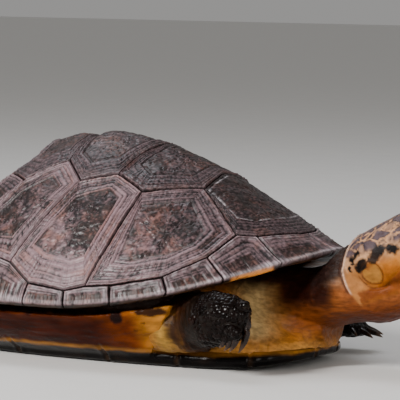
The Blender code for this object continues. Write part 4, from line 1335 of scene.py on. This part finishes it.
def body_colours(place, cloud, fleck):
    """Yellow-brown body skin: cream pockets by the legs, painted shadow in the cavity round the neck, painted
    shade deeper in under the neck, maroon throat.
    """
    mm, recess = place.mm, place.recess
    x, y, z = mm.T
    off_head = 1 - place.on_head
    pocket = smooth_step(58, 46, x) * smooth_step(26, 16, z) * (x > 0)
    # painted shade that deepens into the recess under the neck and beside it
    depth = smooth_step(64, 76, recess) * smooth_step(102, 94, x) * smooth_step(8, 17, z + 1.5 * cloud)
    neck = smooth_step(90, 104, x) * off_head
    # painted shadow in the cavity between the shell's front rim and the neck
    hollow_shadow = smooth_step(61, 70, recess) * smooth_step(102, 95, x - 0.15 * (z - 30))
    hollow_shadow *= smooth_step(18, 27, z + cloud)
    hollow_shadow = np.maximum(hollow_shadow, smooth_step(26, 32, z + cloud) * smooth_step(101, 95, x))
    throat = smooth_step(28, 21, z - 0.12 * (x - 100)) * smooth_step(84, 104, x)
    nape = neck * smooth_step(30, 36, z)
    first, _, own = cell_noise(mm, 2.6, 603)
    level = np.interp(x, *RIM_SHADOW_LEVEL)
    in_shadow = smooth_step(level - 1, level + 1, z + 0.8 * fleck) * (np.abs(y) > 28)
    return paint(plain(OCHRE, mm),
                 (smooth_step(-0.1, 0.5, cloud) * 0.7, AMBER),
                 (0.8 * pocket * smooth_step(35, 44, x + 2 * cloud), OLIVE),
                 (0.8 * bump_at(recess, 57, 8) * smooth_step(8, 14, z), PALE_WALL),
                 (0.85 * depth, UMBER),
                 (0.75 * smooth_step(11.5, 8.0, z) * smooth_step(40, 55, x), LOW_YELLOW),
                 (0.9 * neck, PEACH),
                 (0.97 * hollow_shadow, HOLLOW_SHADOW_BLACK),
                 (0.9 * throat * off_head, UMBER),
                 (0.8 * throat * off_head * smooth_step(23, 18, z - 0.10 * (x - 100)), MAROON),
                 (0.8 * nape, NAPE_TAN),
                 (0.85 * smooth_step(0.36, 0.22, first) * (own > 0.45) * nape, NAPE_SPOT),
                 (0.25 * smooth_step(0.2, 0.6, fleck) * off_head, UMBER),
                 (0.6 * smooth_step(-20, -40, x), REAR_BROWN),
                 (0.96 * in_shadow * (x < 62), RIM_SHADOW))


def face_colours(place, cloud, fleck):
    """Cream head, orange below, with a grey-tiled crown, a drum in a dark ring and black blotches."""
    mm, ahead, up, drum = place.mm, place.ahead, place.up, place.drum
    jaw = smooth_step(0.6, -0.6, place.over_jaw) * (ahead > 4)
    drum_skin = paint(plain(DRUM_YELLOW, mm), (smooth_step(0.0, 0.6, cloud + fleck), DRUM_BROWN))
    around = bump_at(drum, 1.48 + 0.1 * fleck, 0.09)
    around = around * smooth_step(-3.0, -6.0, up) * smooth_step(18, 15, ahead)
    jowl_spots = smooth_step(0.1, 0.5, rough_noise(mm, 2.6, 608)) * smooth_step(14, 8, ahead)
    face = paint(plain(AMBER, mm),
                 (smooth_step(-0.2, 0.5, cloud + 0.3 * fleck) * 0.5, CHEEK_YELLOW),
                 (0.8 * smooth_step(12, 5, ahead + 2 * fleck), JOWL_BROWN),
                 (0.5 * jowl_spots, JOWL_SPOT),
                 (smooth_step(-3.0, 2.0, up + 0.8 * fleck), CREAM),
                 (smooth_step(30, 40, ahead) * 0.6, CREAM),
                 (smooth_step(1.0, 0.88, drum), drum_skin),
                 (0.9 * bump_at(drum, 1.05, 0.09), DRUM_EDGE),
                 (0.75 * around, DRUM_FOLD),
                 (0.8 * jaw, JAW_BROWN),
                 (0.6 * jaw * smooth_step(-0.1, 0.5, fleck), UMBER))
    shield, next_shield, _ = crown_shields(place)
    tile, next_tile, own = cell_noise(np.stack([ahead * 0.7, place.side, up], 1), 4.2, 605)
    crown = smooth_step(2.6, 4.6, up + 0.6 * fleck + 0.02 * np.abs(place.side))
    parting = next_tile - tile + 0.05 * fleck
    grey = np.maximum(smooth_step(0.07, 0.14, parting) * (own > 0.08),
                      smooth_step(0.12, 0.22, next_shield - shield) * 0.5)
    edges = bump_at(parting, 0.15, 0.06) * smooth_step(-0.5, -0.1, rough_noise(mm, 2.4, 607))
    edges = np.maximum(edges, smooth_step(0.34, 0.2, tile) * (own > 0.75))
    face = paint(face, (0.92 * grey * crown, SLATE), (0.85 * crown * edges, SHIELD_EDGE))
    wobble = 0.16 * soft_noise(mm, 1.6, 606)
    for blotch_x, blotch_z, length, tall, lean in HEAD_BLOTCHES:
        c, s = math.cos(lean), math.sin(lean)
        along = (ahead - blotch_x) * c + (up - blotch_z) * s
        upward = (up - blotch_z) * c - (ahead - blotch_x) * s
        away = np.abs(along / length) ** BLOTCH_POWER + np.abs(upward / tall) ** BLOTCH_POWER
        inside = smooth_step(1.12, 0.92, away ** (1 / BLOTCH_POWER) + wobble)
        face = paint(face, (inside * (np.abs(place.side) > 5), BLACK))
    return face


def skin_colours(place):
    """Colours of the whole skin: body, head, the fold behind the head, and blackish legs and tail."""
    mm, behind, level = place.mm, place.behind, place.level
    cloud = rough_noise(mm, 9.0, 601)
    fleck = rough_noise(mm, 3.0, 602)
    shadow = smooth_step(0.2, -0.8, behind) * smooth_step(-4.5, -1.0, place.up) * (place.ahead > -14)
    down = place.down + 0.08 * fleck
    leg = np.maximum(smooth_step(1.55, 1.15, place.out) * smooth_step(0.12, 0.34, down), near_knuckles(mm))
    body, face = body_colours(place, cloud, fleck), face_colours(place, cloud, fleck)
    return paint(mix(body, face, place.on_head[:, None]),
                 (0.95 * shadow, HEAD_SHADOW),
                 (0.9 * bump_at(behind, -1.1, 0.45) * level, NECK_FOLD),
                 (0.9 * bump_at(behind, -0.1, 0.34) * level, HEAD_EDGE),
                 (0.95 * smooth_step(1.6, 1.2, place.out) * smooth_step(0.05, 0.22, down), LEG_RED),
                 (0.97 * leg, LEG_BLACK))


def make_flesh_bodies():
    """Overlapping closed bodies that the skin is fused from."""
    bodies = [copy_node("trunk", "trunk_body"), tube("neck_body", NECK_PATH, 64, 60, upright=True),
              make_head_body(), make_throat_apron()]
    for path in POUCHES:
        bodies.extend([tube("pouch", path, 40, 30), tube("pouch", mirror_path(path), 40, 30)])
    for name, path in LEG_PATHS.items():
        bodies.append(tube(name + "_body", path, 48, 50))
        if name in TOES:
            bodies.extend(make_toes(name))
    for path in KNUCKLES:
        bodies.append(tube("knuckle", [(x, y, z, radius, radius) for x, y, z, radius in path], 16, 14))
    return bodies


def spend_faces_where_seen(skin):
    """Coarser skin inside the shell, where nothing shows, and finer skin on the face."""
    centres = read_vectors(skin.data.polygons, "center") / MM
    x, y, z = centres.T
    inside = (x > -70) & (x < 50) & ((z > 27) | (np.abs(y) < 27))
    inside |= (z < 8.5) & (np.abs(y) < belly_half_width(x) - 8) & (x < 80) & (x > -66)
    inside |= (z > 39) & (x < 66)
    edit_faces(skin, inside)
    bpy.ops.mesh.decimate(ratio=0.06)
    close_edit()
    ahead, side, up = world_to_head(read_vectors(skin.data.polygons, "center") / MM).T
    edit_faces(skin, (ahead > 26) & (np.abs(side) < 16) & (up > -13))
    bpy.ops.mesh.subdivide(number_cuts=1, smoothness=0.0)
    close_edit()


def make_skin(finish):
    """One skin over trunk, neck, head, legs and tail."""
    skin = join_pieces(make_flesh_bodies(), "skin")
    fuse(skin, SKIN_GRAIN, 9)
    spend_faces_where_seen(skin)
    points, normals = get_points(skin.data), get_normals(skin.data)
    place = read_skin(points / MM)
    height = body_height(place) + head_height(place)
    points = shape_eyes(world_to_head((points + normals * (height * MM)[:, None]) / MM))
    points[:, 2] = np.maximum(points[:, 2], 0)
    set_points(skin.data, points)
    thin_to(skin, SKIN_TRIANGLES)
    place = read_skin(get_points(skin.data) / MM)
    set_colour(skin.data, skin_colours(place))
    set_value(skin.data, "sleek", place.on_head)
    skin.data.shade_smooth()
    flesh = ["trunk", "neck", "head", "lower_jaw", "foreleg_left", "foreleg_right", "hindleg_left",
             "hindleg_right", "tail"]
    return mount(skin, finish, flesh)


# ---------------------------------------------------------------- beak, eyes and claws

BEAK_THICKNESS = 0.5 * MM


def make_beak(name, skin, planes, finish):
    """Horn sheath over the edge of a jaw: a patch of the skin's form, cut clean and given a wall."""
    sheath = duplicate(skin, name)
    edit(sheath)
    for place, direction in planes:
        bpy.ops.mesh.select_all(action="SELECT")
        corner = head_to_world(place)
        pointing = head_to_world(np.add(place, direction)) - corner
        bpy.ops.mesh.bisect(plane_co=corner, plane_no=unit(pointing), clear_inner=True, threshold=1e-6)
    close_edit()
    modify(sheath, ("SMOOTH", {"factor": 0.5, "iterations": 3}),
           ("SOLIDIFY", {"thickness": BEAK_THICKNESS, "offset": 0.6}))
    sheath.data.shade_smooth()
    return mount(sheath, finish)


def make_beaks(skin, finish):
    """Both sheaths: each is cut at the rear, along the mouth and along its other edge."""
    corner_x, corner_z = MOUTH_CORNER
    gape = (MOUTH_TIP[1] - corner_z) / (MOUTH_TIP[0] - corner_x)
    make_beak("upper_beak", skin, [((30.5, 0, 0), (1, 0, 0)), ((corner_x, 0, corner_z + 0.35), (-gape, 0, 1)),
                                   ((29, 0, -4.4), (0.17, 0, -1))], finish)
    make_beak("lower_beak", skin, [((31.5, 0, 0), (1, 0, 0)), ((corner_x, 0, corner_z - 0.35), (gape, 0, -1)),
                                   ((29, 0, -5.35), (0.06, 0, 1))], finish)


def make_eye(side, finish):
    """Eyeball with a bulging clear front, a dark iris and a round pupil."""
    name = "left" if side > 0 else "right"
    rows, sides = 46, 64
    polar = np.linspace(0, math.pi, rows + 2)[1:-1, None]
    turn = turns_round(sides)[None, :, None]
    bulge = EYE_RADIUS * (1 + 0.035 * np.exp(-(polar / 0.5) ** 4))
    axis = gaze(side)
    first = unit(np.cross(axis, (0, 0, 1)))
    second = np.cross(first, axis)
    around = np.repeat(polar, sides, 1)
    polar = polar[..., None]
    rays = np.cos(polar) * axis + np.sin(polar) * (np.cos(turn) * first + np.sin(turn) * second)
    centre = head_to_world(np.array(EYE_PLACE) * (1, side, 1))
    rings = centre + pitch(rays, HEAD_PITCH) * bulge[..., None]
    marks = {"pupil": smooth_step(0.33, 0.29, around), "iris": smooth_step(0.86, 0.78, around),
             "ring": bump_at(around, 0.38, 0.04), "rays": 0.5 + 0.5 * np.sin(turn[..., 0] * 23) + 0 * around}
    mount(ring_solid(f"eyeball_{name}", rings, marks=marks), finish, [f"eye_{name}"])


HANGING_FOOT = "foreleg_right"
HANGING_DROOP = 2.0
FIRST_CLAW_SIZE = 1.5  # the hanging foot's first claw is this much thicker
CLAW_FLATNESS = 0.74


def claw_line(leg, number, rows):
    """Points of a claw's middle line, which leaves the toe's end and bends towards the fan's pull."""
    toes = TOES[leg]
    end, ray = toe_line(leg, number)[1:]
    direction = unit(ray - np.array((0, 0, HANGING_DROOP if leg == HANGING_FOOT else 0.0)))
    points, point = [], end - ray * 1.2
    for _ in range(rows):
        points.append(point.copy())
        direction = unit(direction + np.array(toes.pull) * (toes.bend / rows))
        point = point + direction * (toes.lengths[number] + 0.6) / rows
    return np.array(points)


def make_claw(leg, number, finish):
    """Curved claw: a flattened cone along its line."""
    rows, sides = 26, 20
    thickness = CLAW_RADIUS * (FIRST_CLAW_SIZE if leg == HANGING_FOOT and number == 0 else 1.0)
    centres = claw_line(leg, number, rows)
    side, rise = frames_along(centres)
    along = np.linspace(0, 1, rows)[:, None]
    radius = thickness * (1 - along ** 1.8) ** 0.8 + 0.04
    turn = turns_round(sides)[None, :, None]
    rings = centres[:, None] + (CLAW_FLATNESS * np.cos(turn) * side + np.sin(turn) * rise) * radius[..., None]
    rings[..., 2] = np.maximum(rings[..., 2], 0.1)
    node = f"claw_{leg}_{number + 1}"
    claw = ring_solid(node + "_horn", rings * MM, centres[0] * MM, centres[-1] * MM,
                      {"along": np.repeat(along, sides, 1)})
    mount(claw, finish, [node])


# ---------------------------------------------------------------- scales

SCALE_SPACING = 1.9
SCALE_SINK = 0.22
SCALE_STATIONS = 60
NEIGHBOURS = tuple(np.ndindex(3, 3, 3))


def model_scale():
    """One scale, a low six-sided cushion that points along +X and stands up along +Z."""
    deselect_all()
    bpy.ops.mesh.primitive_cylinder_add(vertices=6, radius=0.56, depth=0.5, location=(0, 0, 0))
    scale = bpy.context.object
    edit_faces(scale, [face.normal.z > 0.5 for face in scale.data.polygons])
    bpy.ops.mesh.inset(thickness=0.16, depth=0.13)
    bpy.ops.mesh.inset(thickness=0.18, depth=0.07)
    bpy.ops.mesh.select_all(action="SELECT")
    bpy.ops.mesh.quads_convert_to_tris()
    close_edit()
    corners = get_points(scale.data)
    faces = np.array([face.vertices[:] for face in scale.data.polygons])
    bpy.data.objects.remove(scale, do_unlink=True)
    return corners, faces


def thin_out(points, spacing):
    """Numbers of points that lie about one spacing apart."""
    cells = np.floor(points / spacing).astype(np.int64)
    _, first = np.unique(cells, axis=0, return_index=True)
    kept, grid = [], {}
    for number in first[np.argsort(number_hash(first, 77))]:
        x, y, z = cells[number]
        close = [other for dx, dy, dz in NEIGHBOURS
                 for other in grid.get((x + dx - 1, y + dy - 1, z + dz - 1), ())
                 if np.sum((points[other] - points[number]) ** 2) < (0.78 * spacing) ** 2]
        if not close:
            grid.setdefault((x, y, z), []).append(number)
            kept.append(number)
    return np.array(kept)


def lay_scales(base, up, flow, size, corners):
    """Corners of every scale, each stretched along the flow and sunk a little into the skin."""
    along = unit(flow - up * (flow * up).sum(1)[:, None])
    across = np.cross(up, along)
    length, width, thick = np.moveaxis(corners[None] * size[:, None, None], -1, 0)[..., None]
    lift = thick * 0.62 - SCALE_SINK + 0.10 * length
    placed = base[:, None] + length * 1.12 * along[:, None] + width * across[:, None] + lift * up[:, None]
    placed[..., 2] = np.maximum(placed[..., 2], 0.05)
    return placed


def make_scales(leg, skin_mm, skin_normals, corners, faces, finish):
    """Scales of one leg or the tail as a joined mesh, each lying towards the toes."""
    path = LEG_PATHS[leg]
    samples = smooth_curve(path, np.linspace(0, len(path) - 1, SCALE_STATIONS))
    away = np.linalg.norm((skin_mm[:, None] - samples[None, :, :3]) / samples[None, :, [3, 3, 4]], axis=2)
    nearest = away.argmin(1)
    down = nearest / (SCALE_STATIONS - 1)
    edge = (0.36 if leg.startswith("fore") else 0.22) + 0.06 * soft_noise(skin_mm, 4.0, 701)
    chosen = np.flatnonzero((away.min(1) < 1.5) & (down > edge) & (skin_mm[:, 2] > 0.5))
    kept = chosen[thin_out(skin_mm[chosen], SCALE_SPACING)]
    base, down, middle = skin_mm[kept], down[kept], samples[nearest[kept], :3]
    flow = unit(np.gradient(samples[:, :3], axis=0))[nearest[kept]]
    size = SCALE_SPACING * (0.92 + 0.3 * number_hash(kept, 702))
    size = size * (1 + 0.35 * smooth_step(0.35, 0.75, soft_noise(base, 9.0, 703)))
    placed = lay_scales(base, skin_normals[kept], flow, size, corners)
    count, per = placed.shape[:2]
    every = (faces[None] + (np.arange(count) * per)[:, None, None]).reshape(-1, 3)
    mesh = bpy.data.meshes.new(f"{leg}_scales")
    mesh.from_pydata((placed.reshape(-1, 3) * MM).tolist(), [], every.tolist())
    item = bpy.data.objects.new(f"{leg}_scales", mesh)
    bpy.context.scene.collection.objects.link(item)
    turn = np.arctan2(base[:, 2] - middle[:, 2], (base[:, :2] - middle[:, :2]) @ (0.6, -0.8))
    root = np.stack([0.03 + 0.94 * (turn + math.pi) / (2 * math.pi), 0.03 + 0.94 * down], 1)
    patch = root[:, None] + corners[None, :, :2] * 0.0027
    layer = mesh.uv_layers.new(name="OFBake")
    layer.data.foreach_set("uv", patch.reshape(-1, 2)[every.ravel()].astype(np.float32).ravel())
    red = smooth_step(0.42, 0.2, down + 0.1 * soft_noise(base, 5.0, 705))
    set_value(mesh, "own", np.repeat(number_hash(kept, 704, 1), per))
    set_value(mesh, "lift", np.tile(smooth_step(0.1, 0.42, corners[:, 2]), count))
    set_value(mesh, "red", np.repeat(red, per))
    mesh.shade_smooth()
    mount(item, finish)


# ---------------------------------------------------------------- materials

class Finish:
    """A material in the making: each method adds a node and gives back its output."""

    def __init__(self, name):
        self.material = bpy.data.materials.new(name)
        self.material.use_nodes = True
        self.tree = self.material.node_tree

    def plug(self, value, socket):
        """Link an output to an input, or set the input to a number, a vector or a colour."""
        if isinstance(value, bpy.types.NodeSocket):
            self.tree.links.new(value, socket)
        elif socket.type == "RGBA":
            socket.default_value = (*value, 1.0)
        else:
            socket.default_value = value

    def node(self, kind, inputs, output, **settings):
        node = self.tree.nodes.new(kind)
        for key, value in settings.items():
            setattr(node, key, value)
        for key, value in inputs.items():
            self.plug(value, node.inputs[key])
        return node.outputs[output]

    def mark(self, name, output="Fac"):
        """A number that each point of the mesh carries."""
        return self.node("ShaderNodeAttribute", {}, output, attribute_name=name)

    def noise(self, scale, detail, stretch=(1, 1, 1)):
        """Noise on the piece's own coordinates; scale is lumps per metre."""
        place = self.node("ShaderNodeTexCoord", {}, "Object")
        place = self.node("ShaderNodeMapping", {"Scale": stretch, "Vector": place}, "Vector")
        return self.node("ShaderNodeTexNoise", {"Scale": scale, "Detail": detail, "Vector": place}, "Fac")

    def blend(self, share, first, second, kind="MIX"):
        """Mix of two colours by a share."""
        inputs = {0: share, 6: first, 7: second}
        return self.node("ShaderNodeMix", inputs, 2, data_type="RGBA", blend_type=kind)

    def reckon(self, operation, first, second):
        return self.node("ShaderNodeMath", {0: first, 1: second}, 0, operation=operation)

    def times(self, first, second):
        return self.reckon("MULTIPLY", first, second)

    def spread(self, value, low, high, to_low=0.0, to_high=1.0):
        """A value spread smoothly from one range over another."""
        inputs = {"Value": value, "From Min": low, "From Max": high, "To Min": to_low, "To Max": to_high}
        return self.node("ShaderNodeMapRange", inputs, "Result", interpolation_type="SMOOTHSTEP")

    def bump(self, height, strength, distance):
        inputs = {"Strength": strength, "Distance": distance, "Height": height}
        return self.node("ShaderNodeBump", inputs, "Normal")

    def done(self, inputs):
        """Plug the shader's inputs, and give back the finished material."""
        for name, value in inputs.items():
            self.plug(value, self.tree.nodes["Principled BSDF"].inputs[name])
        return self.material


# Horn colours
HORN_DARK, HORN_LIGHT = (0.009, 0.005, 0.006), (0.225, 0.142, 0.156)
RUST_DARK, RUST_LIGHT = (0.022, 0.007, 0.004), (0.275, 0.112, 0.082)
# pale grey of wear, also the colour of the painted glints on ridges and rim edges
WORN_GREY_AND_GLINT = (0.62, 0.57, 0.60)
GROOVE_BLACK = (0.008, 0.005, 0.004)
UNDERSIDE_BLACK, UNDERSIDE_ORANGE = (0.008, 0.004, 0.003), (0.85, 0.30, 0.045)


def make_shell_horn():
    """Dark horn: greyish brown bands, red-brown areolas, black grooves, and pale edges and ridges that are
    partly wear and partly painted glints.
    """
    horn = Finish("shell_horn_finish")
    coarse = horn.noise(160, 5)
    fine = horn.noise(900, 4)
    tone = horn.reckon("ADD", horn.mark("tone"), horn.spread(fine, 0.3, 0.7, -0.22, 0.22))
    brown = horn.blend(tone, HORN_DARK, HORN_LIGHT)
    warmth = horn.times(horn.mark("warm"), horn.spread(coarse, 0.3, 0.62, 0.15, 1.0))
    rust = horn.blend(tone, RUST_DARK, RUST_LIGHT)
    colour = horn.blend(horn.times(warmth, 0.85), brown, rust)
    # pale marks: wear and painted glints
    colour = horn.blend(horn.mark("pale"), colour, WORN_GREY_AND_GLINT)
    colour = horn.blend(horn.times(horn.mark("groove"), 0.9), colour, GROOVE_BLACK)
    under = horn.blend(horn.mark("light_patch"), UNDERSIDE_BLACK, UNDERSIDE_ORANGE)
    return horn.done({"Base Color": horn.blend(horn.mark("belly"), colour, under),
                      "Roughness": horn.spread(coarse, 0.3, 0.7, 0.34, 0.50),
                      "Specular IOR Level": 0.34, "Normal": horn.bump(fine, 0.5, 0.00012)})


def make_bone_finish():
    """Dark stained bone that shows in the seams and inside the shell."""
    bone = Finish("shell_bone_finish")
    colour = bone.blend(bone.noise(90, 4), (0.010, 0.004, 0.003), (0.030, 0.011, 0.006))
    return bone.done({"Base Color": colour, "Roughness": 0.6,
                      "Normal": bone.bump(bone.noise(500, 3), 0.4, 0.0002)})


def make_belly_horn():
    """Wet black horn with yellow-brown bridges; the colour lies in the piece's own tint."""
    horn = Finish("belly_horn_finish")
    cloud = horn.noise(260, 5, (0.35, 1, 1))
    fine = horn.noise(1500, 3)
    shade = horn.spread(cloud, 0.3, 0.7, 0.55, 1.25)
    return horn.done({"Base Color": horn.blend(1.0, horn.mark("tint", "Color"), shade, "MULTIPLY"),
                      "Roughness": horn.spread(cloud, 0.3, 0.7, 0.10, 0.24), "Specular IOR Level": 0.08,
                      "Normal": horn.bump(horn.reckon("ADD", cloud, fine), 0.35, 0.0002)})


def make_skin_finish():
    """Soft skin: its own tint, fine wrinkles that run along the neck, and a damp satin face."""
    skin = Finish("skin_finish")
    wrinkles = skin.noise(900, 4, (0.22, 0.8, 1.0))
    grain = skin.noise(2200, 3)
    cloud = skin.noise(420, 4)
    loose = skin.reckon("SUBTRACT", 1.0, skin.times(skin.mark("sleek"), 0.85))
    creased = skin.times(skin.reckon("SUBTRACT", wrinkles, 0.5), loose)
    shade = skin.spread(skin.reckon("ADD", creased, skin.times(cloud, 0.6)), 0.05, 0.55, 0.66, 1.26)
    relief = skin.reckon("ADD", skin.times(creased, 1.8), grain)
    return skin.done({"Base Color": skin.blend(1.0, skin.mark("tint", "Color"), shade, "MULTIPLY"),
                      "Roughness": skin.spread(cloud, 0.3, 0.7, 0.30, 0.50), "Specular IOR Level": 0.11,
                      "Subsurface Weight": 0.06, "Subsurface Radius": (1.0, 0.4, 0.2),
                      "Subsurface Scale": 0.0012, "Normal": skin.bump(relief, 0.55, 0.00025)})


def make_beak_horn():
    """Tan horn with darker upright streaks."""
    horn = Finish("beak_horn_finish")
    streaks = horn.noise(620, 5, (1, 1, 0.35))
    colour = horn.blend(horn.spread(streaks, 0.3, 0.75), (0.19, 0.10, 0.045), (0.33, 0.19, 0.09))
    return horn.done({"Base Color": colour,
                      "Roughness": horn.spread(horn.noise(1800, 3), 0.3, 0.7, 0.26, 0.42),
                      "Normal": horn.bump(streaks, 0.3, 0.0002)})


def make_eye_finish():
    """Dark brown iris with a paler ring round a black pupil, under a wet clear coat."""
    eye = Finish("eye_finish")
    flecks = eye.spread(eye.noise(1600, 4), 0.35, 0.65)
    iris = eye.blend(flecks, (0.030, 0.014, 0.006), (0.090, 0.042, 0.013))
    iris = eye.blend(eye.times(eye.mark("rays"), 0.35), iris, (0.05, 0.025, 0.01))
    iris = eye.blend(eye.mark("ring"), iris, (0.30, 0.19, 0.06))
    colour = eye.blend(eye.mark("iris"), (0.045, 0.030, 0.022), iris)
    colour = eye.blend(eye.mark("pupil"), colour, (0.002, 0.002, 0.002))
    return eye.done({"Base Color": colour, "Roughness": 0.18, "Coat Weight": 1.0, "Coat Roughness": 0.02})


def make_claw_finish():
    """Blackish horn, browner and a little clear towards the tip, with fine lengthwise streaks."""
    claw = Finish("claw_finish")
    streaks = claw.noise(1400, 4)
    dark = claw.blend(claw.spread(streaks, 0.35, 0.7), (0.005, 0.003, 0.002), (0.024, 0.011, 0.007))
    tip = claw.spread(claw.mark("along"), 0.6, 1.0, 0.0, 0.55)
    return claw.done({"Base Color": claw.blend(tip, dark, (0.16, 0.085, 0.045)),
                      "Roughness": claw.spread(streaks, 0.3, 0.7, 0.16, 0.3), "Specular IOR Level": 0.3,
                      "Normal": claw.bump(streaks, 0.25, 0.00015)})


def make_scale_finish():
    """Glossy black-brown scales, each its own shade, redder where the leg leaves the body."""
    scale = Finish("scale_finish")
    colour = scale.blend(scale.mark("own"), (0.0018, 0.001, 0.0008), (0.006, 0.003, 0.0025))
    colour = scale.blend(scale.times(scale.mark("red"), 0.8), colour, (0.045, 0.011, 0.004))
    low = scale.reckon("SUBTRACT", 1.0, scale.mark("lift"))
    colour = scale.blend(scale.times(low, 0.6), colour, (0.006, 0.003, 0.002))
    fine = scale.noise(1800, 3)
    return scale.done({"Base Color": colour, "Roughness": scale.spread(fine, 0.3, 0.7, 0.09, 0.20),
                       "Specular IOR Level": 0.09, "Normal": scale.bump(fine, 0.3, 0.00012)})


def make_floor_finish():
    floor = Finish("pale_floor")
    colour = floor.blend(floor.noise(40, 3), (0.70, 0.69, 0.67), (0.76, 0.75, 0.73))
    return floor.done({"Base Color": colour, "Roughness": 0.85})


# ---------------------------------------------------------------- stage

CAMERA_TURN = math.radians(27.935)
CAMERA_RAISE = math.radians(4.223)
CAMERA_ROLL = math.radians(1.121)
CAMERA_TARGET = Vector((33.42, 0, 59.11)) * MM
CAMERA_DISTANCE = 1.0
CAMERA_LENS = 236.4
SKY_COLOUR = (1.0, 0.985, 0.965, 1)
SKY_STRENGTH = 0.32
FLOOR_SIZE = 40.0
FLOOR_DROP = 0.2 * MM
LIGHTS = (  # name, place, target, size, power, colour
    ("key", (-0.35, -1.25, 0.85), (0, 0, 0.03), 0.45, 30, (1.0, 0.98, 0.96)),
    ("top", (-0.5, 0.3, 1.3), (0, 0, 0.05), 0.7, 7, (0.90, 0.93, 1.0)),
    ("fill", (1.0, -0.8, 0.45), (0.08, 0, 0.04), 0.6, 6, (1.0, 0.95, 0.9)),
)


def make_camera():
    back = Vector((math.sin(CAMERA_TURN) * math.cos(CAMERA_RAISE),
                   -math.cos(CAMERA_TURN) * math.cos(CAMERA_RAISE), math.sin(CAMERA_RAISE)))
    right = Vector((math.cos(CAMERA_TURN), math.sin(CAMERA_TURN), 0))
    up = back.cross(right)
    rolled_right = right * math.cos(CAMERA_ROLL) + up * math.sin(CAMERA_ROLL)
    rolled_up = up * math.cos(CAMERA_ROLL) - right * math.sin(CAMERA_ROLL)
    data = bpy.data.cameras.new("camera")
    data.lens = CAMERA_LENS
    data.sensor_width = 36
    data.clip_start = 0.01
    camera = bpy.data.objects.new("camera", data)
    bpy.context.scene.collection.objects.link(camera)
    turn = Matrix((rolled_right, rolled_up, back)).transposed().to_4x4()
    camera.matrix_world = Matrix.Translation(CAMERA_TARGET + back * CAMERA_DISTANCE) @ turn
    bpy.context.scene.camera = camera


def add_soft_light(name, place, target, size, power, colour):
    data = bpy.data.lights.new(name, "AREA")
    data.shape = "DISK"
    data.size = size
    data.energy = power
    data.color = colour
    light = bpy.data.objects.new(name, data)
    bpy.context.scene.collection.objects.link(light)
    light.location = place
    light.rotation_euler = (Vector(target) - Vector(place)).to_track_quat("-Z", "Y").to_euler()


def make_stage():
    deselect_all()
    bpy.ops.mesh.primitive_plane_add(size=FLOOR_SIZE, location=(0, 0, -FLOOR_DROP))
    floor = bpy.context.object
    floor.name = "floor"
    floor.data.materials.append(make_floor_finish())
    world = bpy.data.worlds.new("room")
    bpy.context.scene.world = world
    world.use_nodes = True
    sky = world.node_tree.nodes["Background"]
    sky.inputs["Color"].default_value = SKY_COLOUR
    sky.inputs["Strength"].default_value = SKY_STRENGTH
    for light in LIGHTS:
        add_soft_light(*light)


def make_shell():
    horn = make_shell_horn()
    make_middle_plates(horn)
    make_side_plates(horn)
    make_rim_plates(horn)
    make_bone(make_bone_finish())
    make_belly_shell(make_belly_horn())


def make_flesh():
    skin = make_skin(make_skin_finish())
    make_beaks(skin, make_beak_horn())
    eye_finish, claw_finish, scale_finish = make_eye_finish(), make_claw_finish(), make_scale_finish()
    for side in (1, -1):
        make_eye(side, eye_finish)
    for leg in TOES:
        for number in range(TOE_COUNT):
            make_claw(leg, number, claw_finish)
    corners, faces = model_scale()
    skin_mm, normals = get_points(skin.data) / MM, get_normals(skin.data)
    for leg in LEG_PATHS:
        make_scales(leg, skin_mm, normals, corners, faces, scale_finish)


make_camera()
make_stage()
make_shell()
make_flesh()
